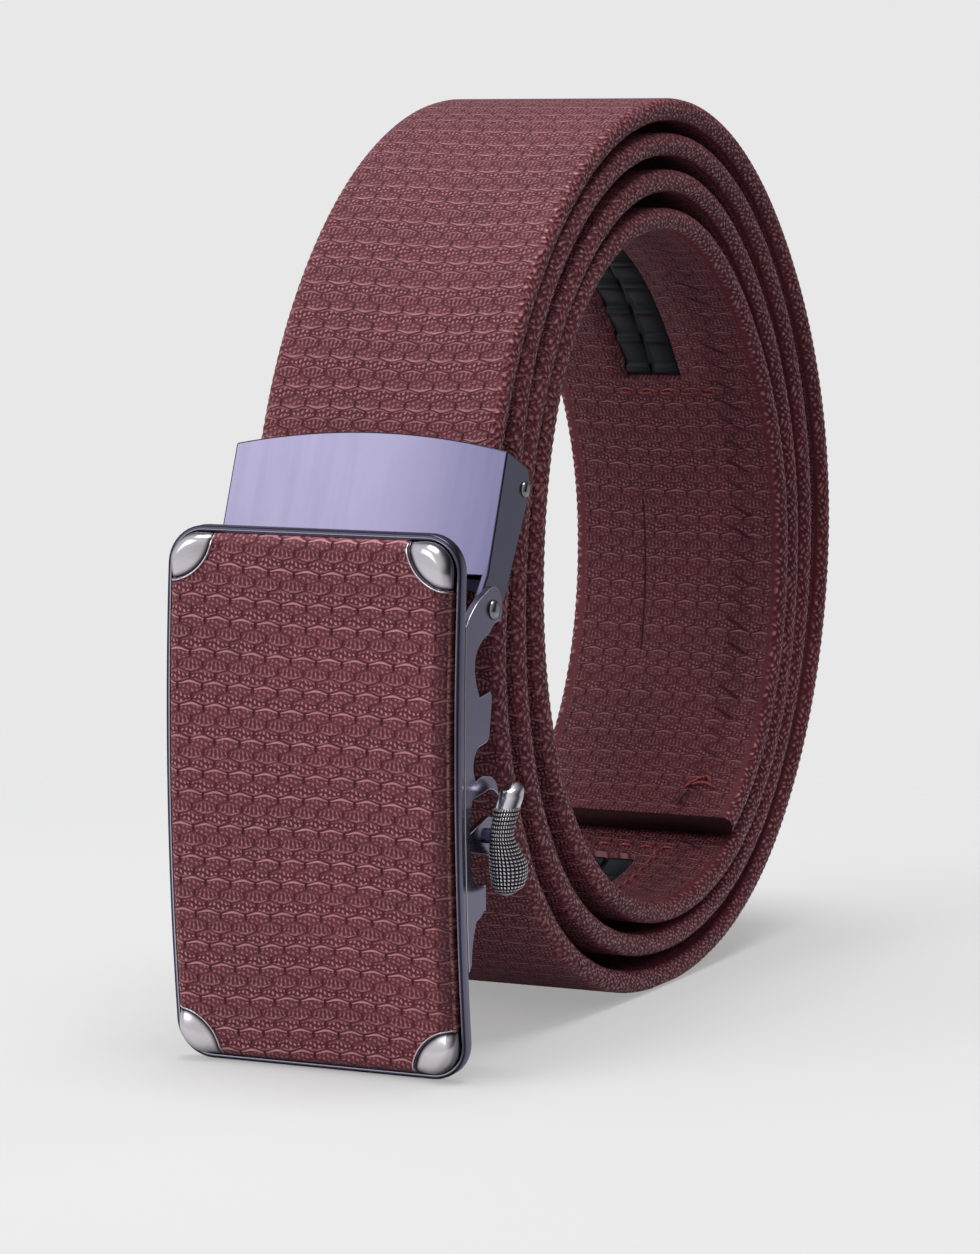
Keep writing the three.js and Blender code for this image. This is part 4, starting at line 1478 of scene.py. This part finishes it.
def buildLever():
    look = leverLook
    rows = np.array(look["rows"])
    steps = int(look["length"] / look["pitch"]) * 6
    even = np.linspace(0, 1, steps + 1)
    along = 0.75 * even + 0.25 * (0.5 - 0.5 * np.cos(math.pi * even))
    slopes = np.gradient(rows[:, 1:], rows[:, 0], axis=0)
    slopes[0] = slopes[-1] = 0
    index = np.clip(np.searchsorted(rows[:, 0], along, side="right") - 1, 0, len(rows) - 2)
    span = rows[index + 1, 0] - rows[index, 0]
    t = (along - rows[index, 0]) / span
    span, t = span[:, None], t[:, None]
    curve = ((2 * t ** 3 - 3 * t ** 2 + 1) * rows[index, 1:]
             + (t ** 3 - 2 * t ** 2 + t) * span * slopes[index]
             + (3 * t ** 2 - 2 * t ** 3) * rows[index + 1, 1:]
             + (t ** 3 - t ** 2) * span * slopes[index + 1])
    # the first and the last stretch are rounded ends
    tip, heel = rows[1, 0], rows[-2, 0]
    ends = np.sqrt(np.minimum(along / tip, 1) * np.minimum((1 - along) / (1 - heel), 1))
    blunt = np.where((along < tip)[:, None], rows[1, 1:], rows[-2, 1:]) * ends[:, None]
    first, second = np.where(((along < tip) | (along > heel))[:, None], blunt, curve).T[:2]
    bend = curve[:, 2]
    (tipStart, tipEnd), (heelStart, heelEnd) = look["knurled"]
    knurls = between(along, tipStart, tipEnd) * between(along, heelStart, heelEnd)
    sides = look["around"] * 6
    turns = np.linspace(0, 2 * math.pi, sides, endpoint=False)
    work = bmesh.new()
    paintedShading = work.verts.layers.float.new("paintedShading")
    rings = []
    for i in range(1, steps):
        ring = []
        rowShape = abs(math.sin(math.pi * along[i] * look["length"] / look["pitch"]))
        up = look["waist"] - along[i]
        middle = Vector((look["middle"], bend[i] * look["length"], up * look["length"]))
        for turn in turns:
            shape = min(rowShape, abs(math.sin(0.5 * look["around"] * turn)))
            lift = look["bite"] * knurls[i] * (shape ** 0.8 - 0.45)
            x = (second[i] * look["thick"] + lift) * math.cos(turn)
            y = (first[i] * look["length"] + lift) * math.sin(turn)
            ring.append(work.verts.new(middle + Vector((x, y, 0))))
            # Painted shade: the knurl's valleys are coloured dark.
            ring[-1][paintedShading] = knurls[i] * (1 - between(shape, *look["valley"]))
        rings.append(ring)
    joinRings(work, rings)
    closeEnds(work, rings)
    finishPiece(work, "releaseLever", inLever, metals["knurled"], "release", "release_lever",
                sharp=70)


buildLever()
print("scene: lever built")

# Floor, light and world
stageLook = {
    "background": (0.807, 0.807, 0.807, 1),
    "floor": (0.82, 0.82, 0.82, 1),
    "floorRadius": 3.0,
    "floorDrop": 0.0002,
    "floorRoughness": 0.8,
    "floorSpecular": 0.1,
    "fade": (0.36, 0.1),
    "cover": 0.6,
    "key": (-0.55, -0.62, 0.56),
    "keySpread": (-0.55, 0.75),
    "bright": (1.0, 1.0, 1.02, 1),
    "dark": (0.055, 0.055, 0.065, 1),
    "strength": 0.6,
    "back": (0.5, 0.84, -0.2),
    "backSpread": (0.72, 1.0),
    "glow": 0.7,
    "lights": (
        ("topLight", (0.05, 0.0, 1.0), (0, 0, 0.05), (0.5, 0.5), 5.2, True),
        ("frontLight", (-0.48, -0.9, 0.62), (0, 0, 0.06), (0.8, 0.8), 4.2, True),
        ("backLight", (0.5, 0.95, 0.3), (0, 0, 0.06), (0.4, 0.6), 1.6, False),
    ),
}


# A round floor that fades into the background
def buildFloor(look):
    mesh = bpy.data.meshes.new("floor")
    work = bmesh.new()
    bmesh.ops.create_circle(work, cap_ends=True, segments=64, radius=look["floorRadius"])
    work.to_mesh(mesh)
    work.free()
    material, sheet, shader = newMaterial("paleFloor")
    sheet.put(look["floor"], shader["Base Color"])
    sheet.put(look["floorRoughness"], shader["Roughness"])
    sheet.put(look["floorSpecular"], shader["Specular IOR Level"])
    far = sheet.add("ShaderNodeVectorMath", operation="LENGTH")
    sheet.put(sheet.onObject(), far.inputs[0])
    sheet.put(sheet.smooth(far.outputs["Value"], *look["fade"], 0.0, look["cover"]), shader["Alpha"])
    floor = addObject("floor", mesh, material)
    floor.location.z = -look["floorDrop"]


# The camera sees an even grey; surfaces are lit by a bright side and a glow from behind
def buildWorld(look):
    world = bpy.data.worlds.new("studio")
    bpy.context.scene.world = world
    world.use_nodes = True
    world.node_tree.nodes.clear()
    sheet = Sheet(world.node_tree)
    seen, lit = (sheet.add("ShaderNodeBackground") for way in range(2))
    sheet.put(look["background"], seen.inputs["Color"])
    sheet.put(look["strength"], lit.inputs["Strength"])
    way = sheet.add("ShaderNodeTexCoord").outputs["Generated"]
    share = sheet.smooth(sheet.towards(way, look["key"]), *look["keySpread"])
    glow = sheet.smooth(sheet.towards(way, look["back"]), *look["backSpread"], 0.0, look["glow"])
    bright = sheet.math("MAXIMUM", share, glow)
    sheet.put(sheet.mix(bright, look["dark"], look["bright"]), lit.inputs["Color"])
    pick = sheet.add("ShaderNodeMixShader")
    sheet.put(sheet.add("ShaderNodeLightPath").outputs["Is Camera Ray"], pick.inputs[0])
    sheet.put(lit.outputs[0], pick.inputs[1])
    sheet.put(seen.outputs[0], pick.inputs[2])
    sheet.put(pick.outputs[0], sheet.add("ShaderNodeOutputWorld").inputs[0])


def softLight(name, place, aim, size, power, mirrored):
    data = bpy.data.lights.new(name, "AREA")
    data.shape = "RECTANGLE"
    data.size, data.size_y = size
    data.energy = power
    light = bpy.data.objects.new(name, data)
    bpy.context.scene.collection.objects.link(light)
    light.location = place
    light.rotation_euler = (Vector(aim) - Vector(place)).to_track_quat("-Z", "Y").to_euler()
    light.visible_camera = False
    light.visible_glossy = mirrored


buildFloor(stageLook)
buildWorld(stageLook)
for light in stageLook["lights"]:
    softLight(*light)
print("scene: stage lit")
bpy.context.scene.view_settings.view_transform = "Standard"
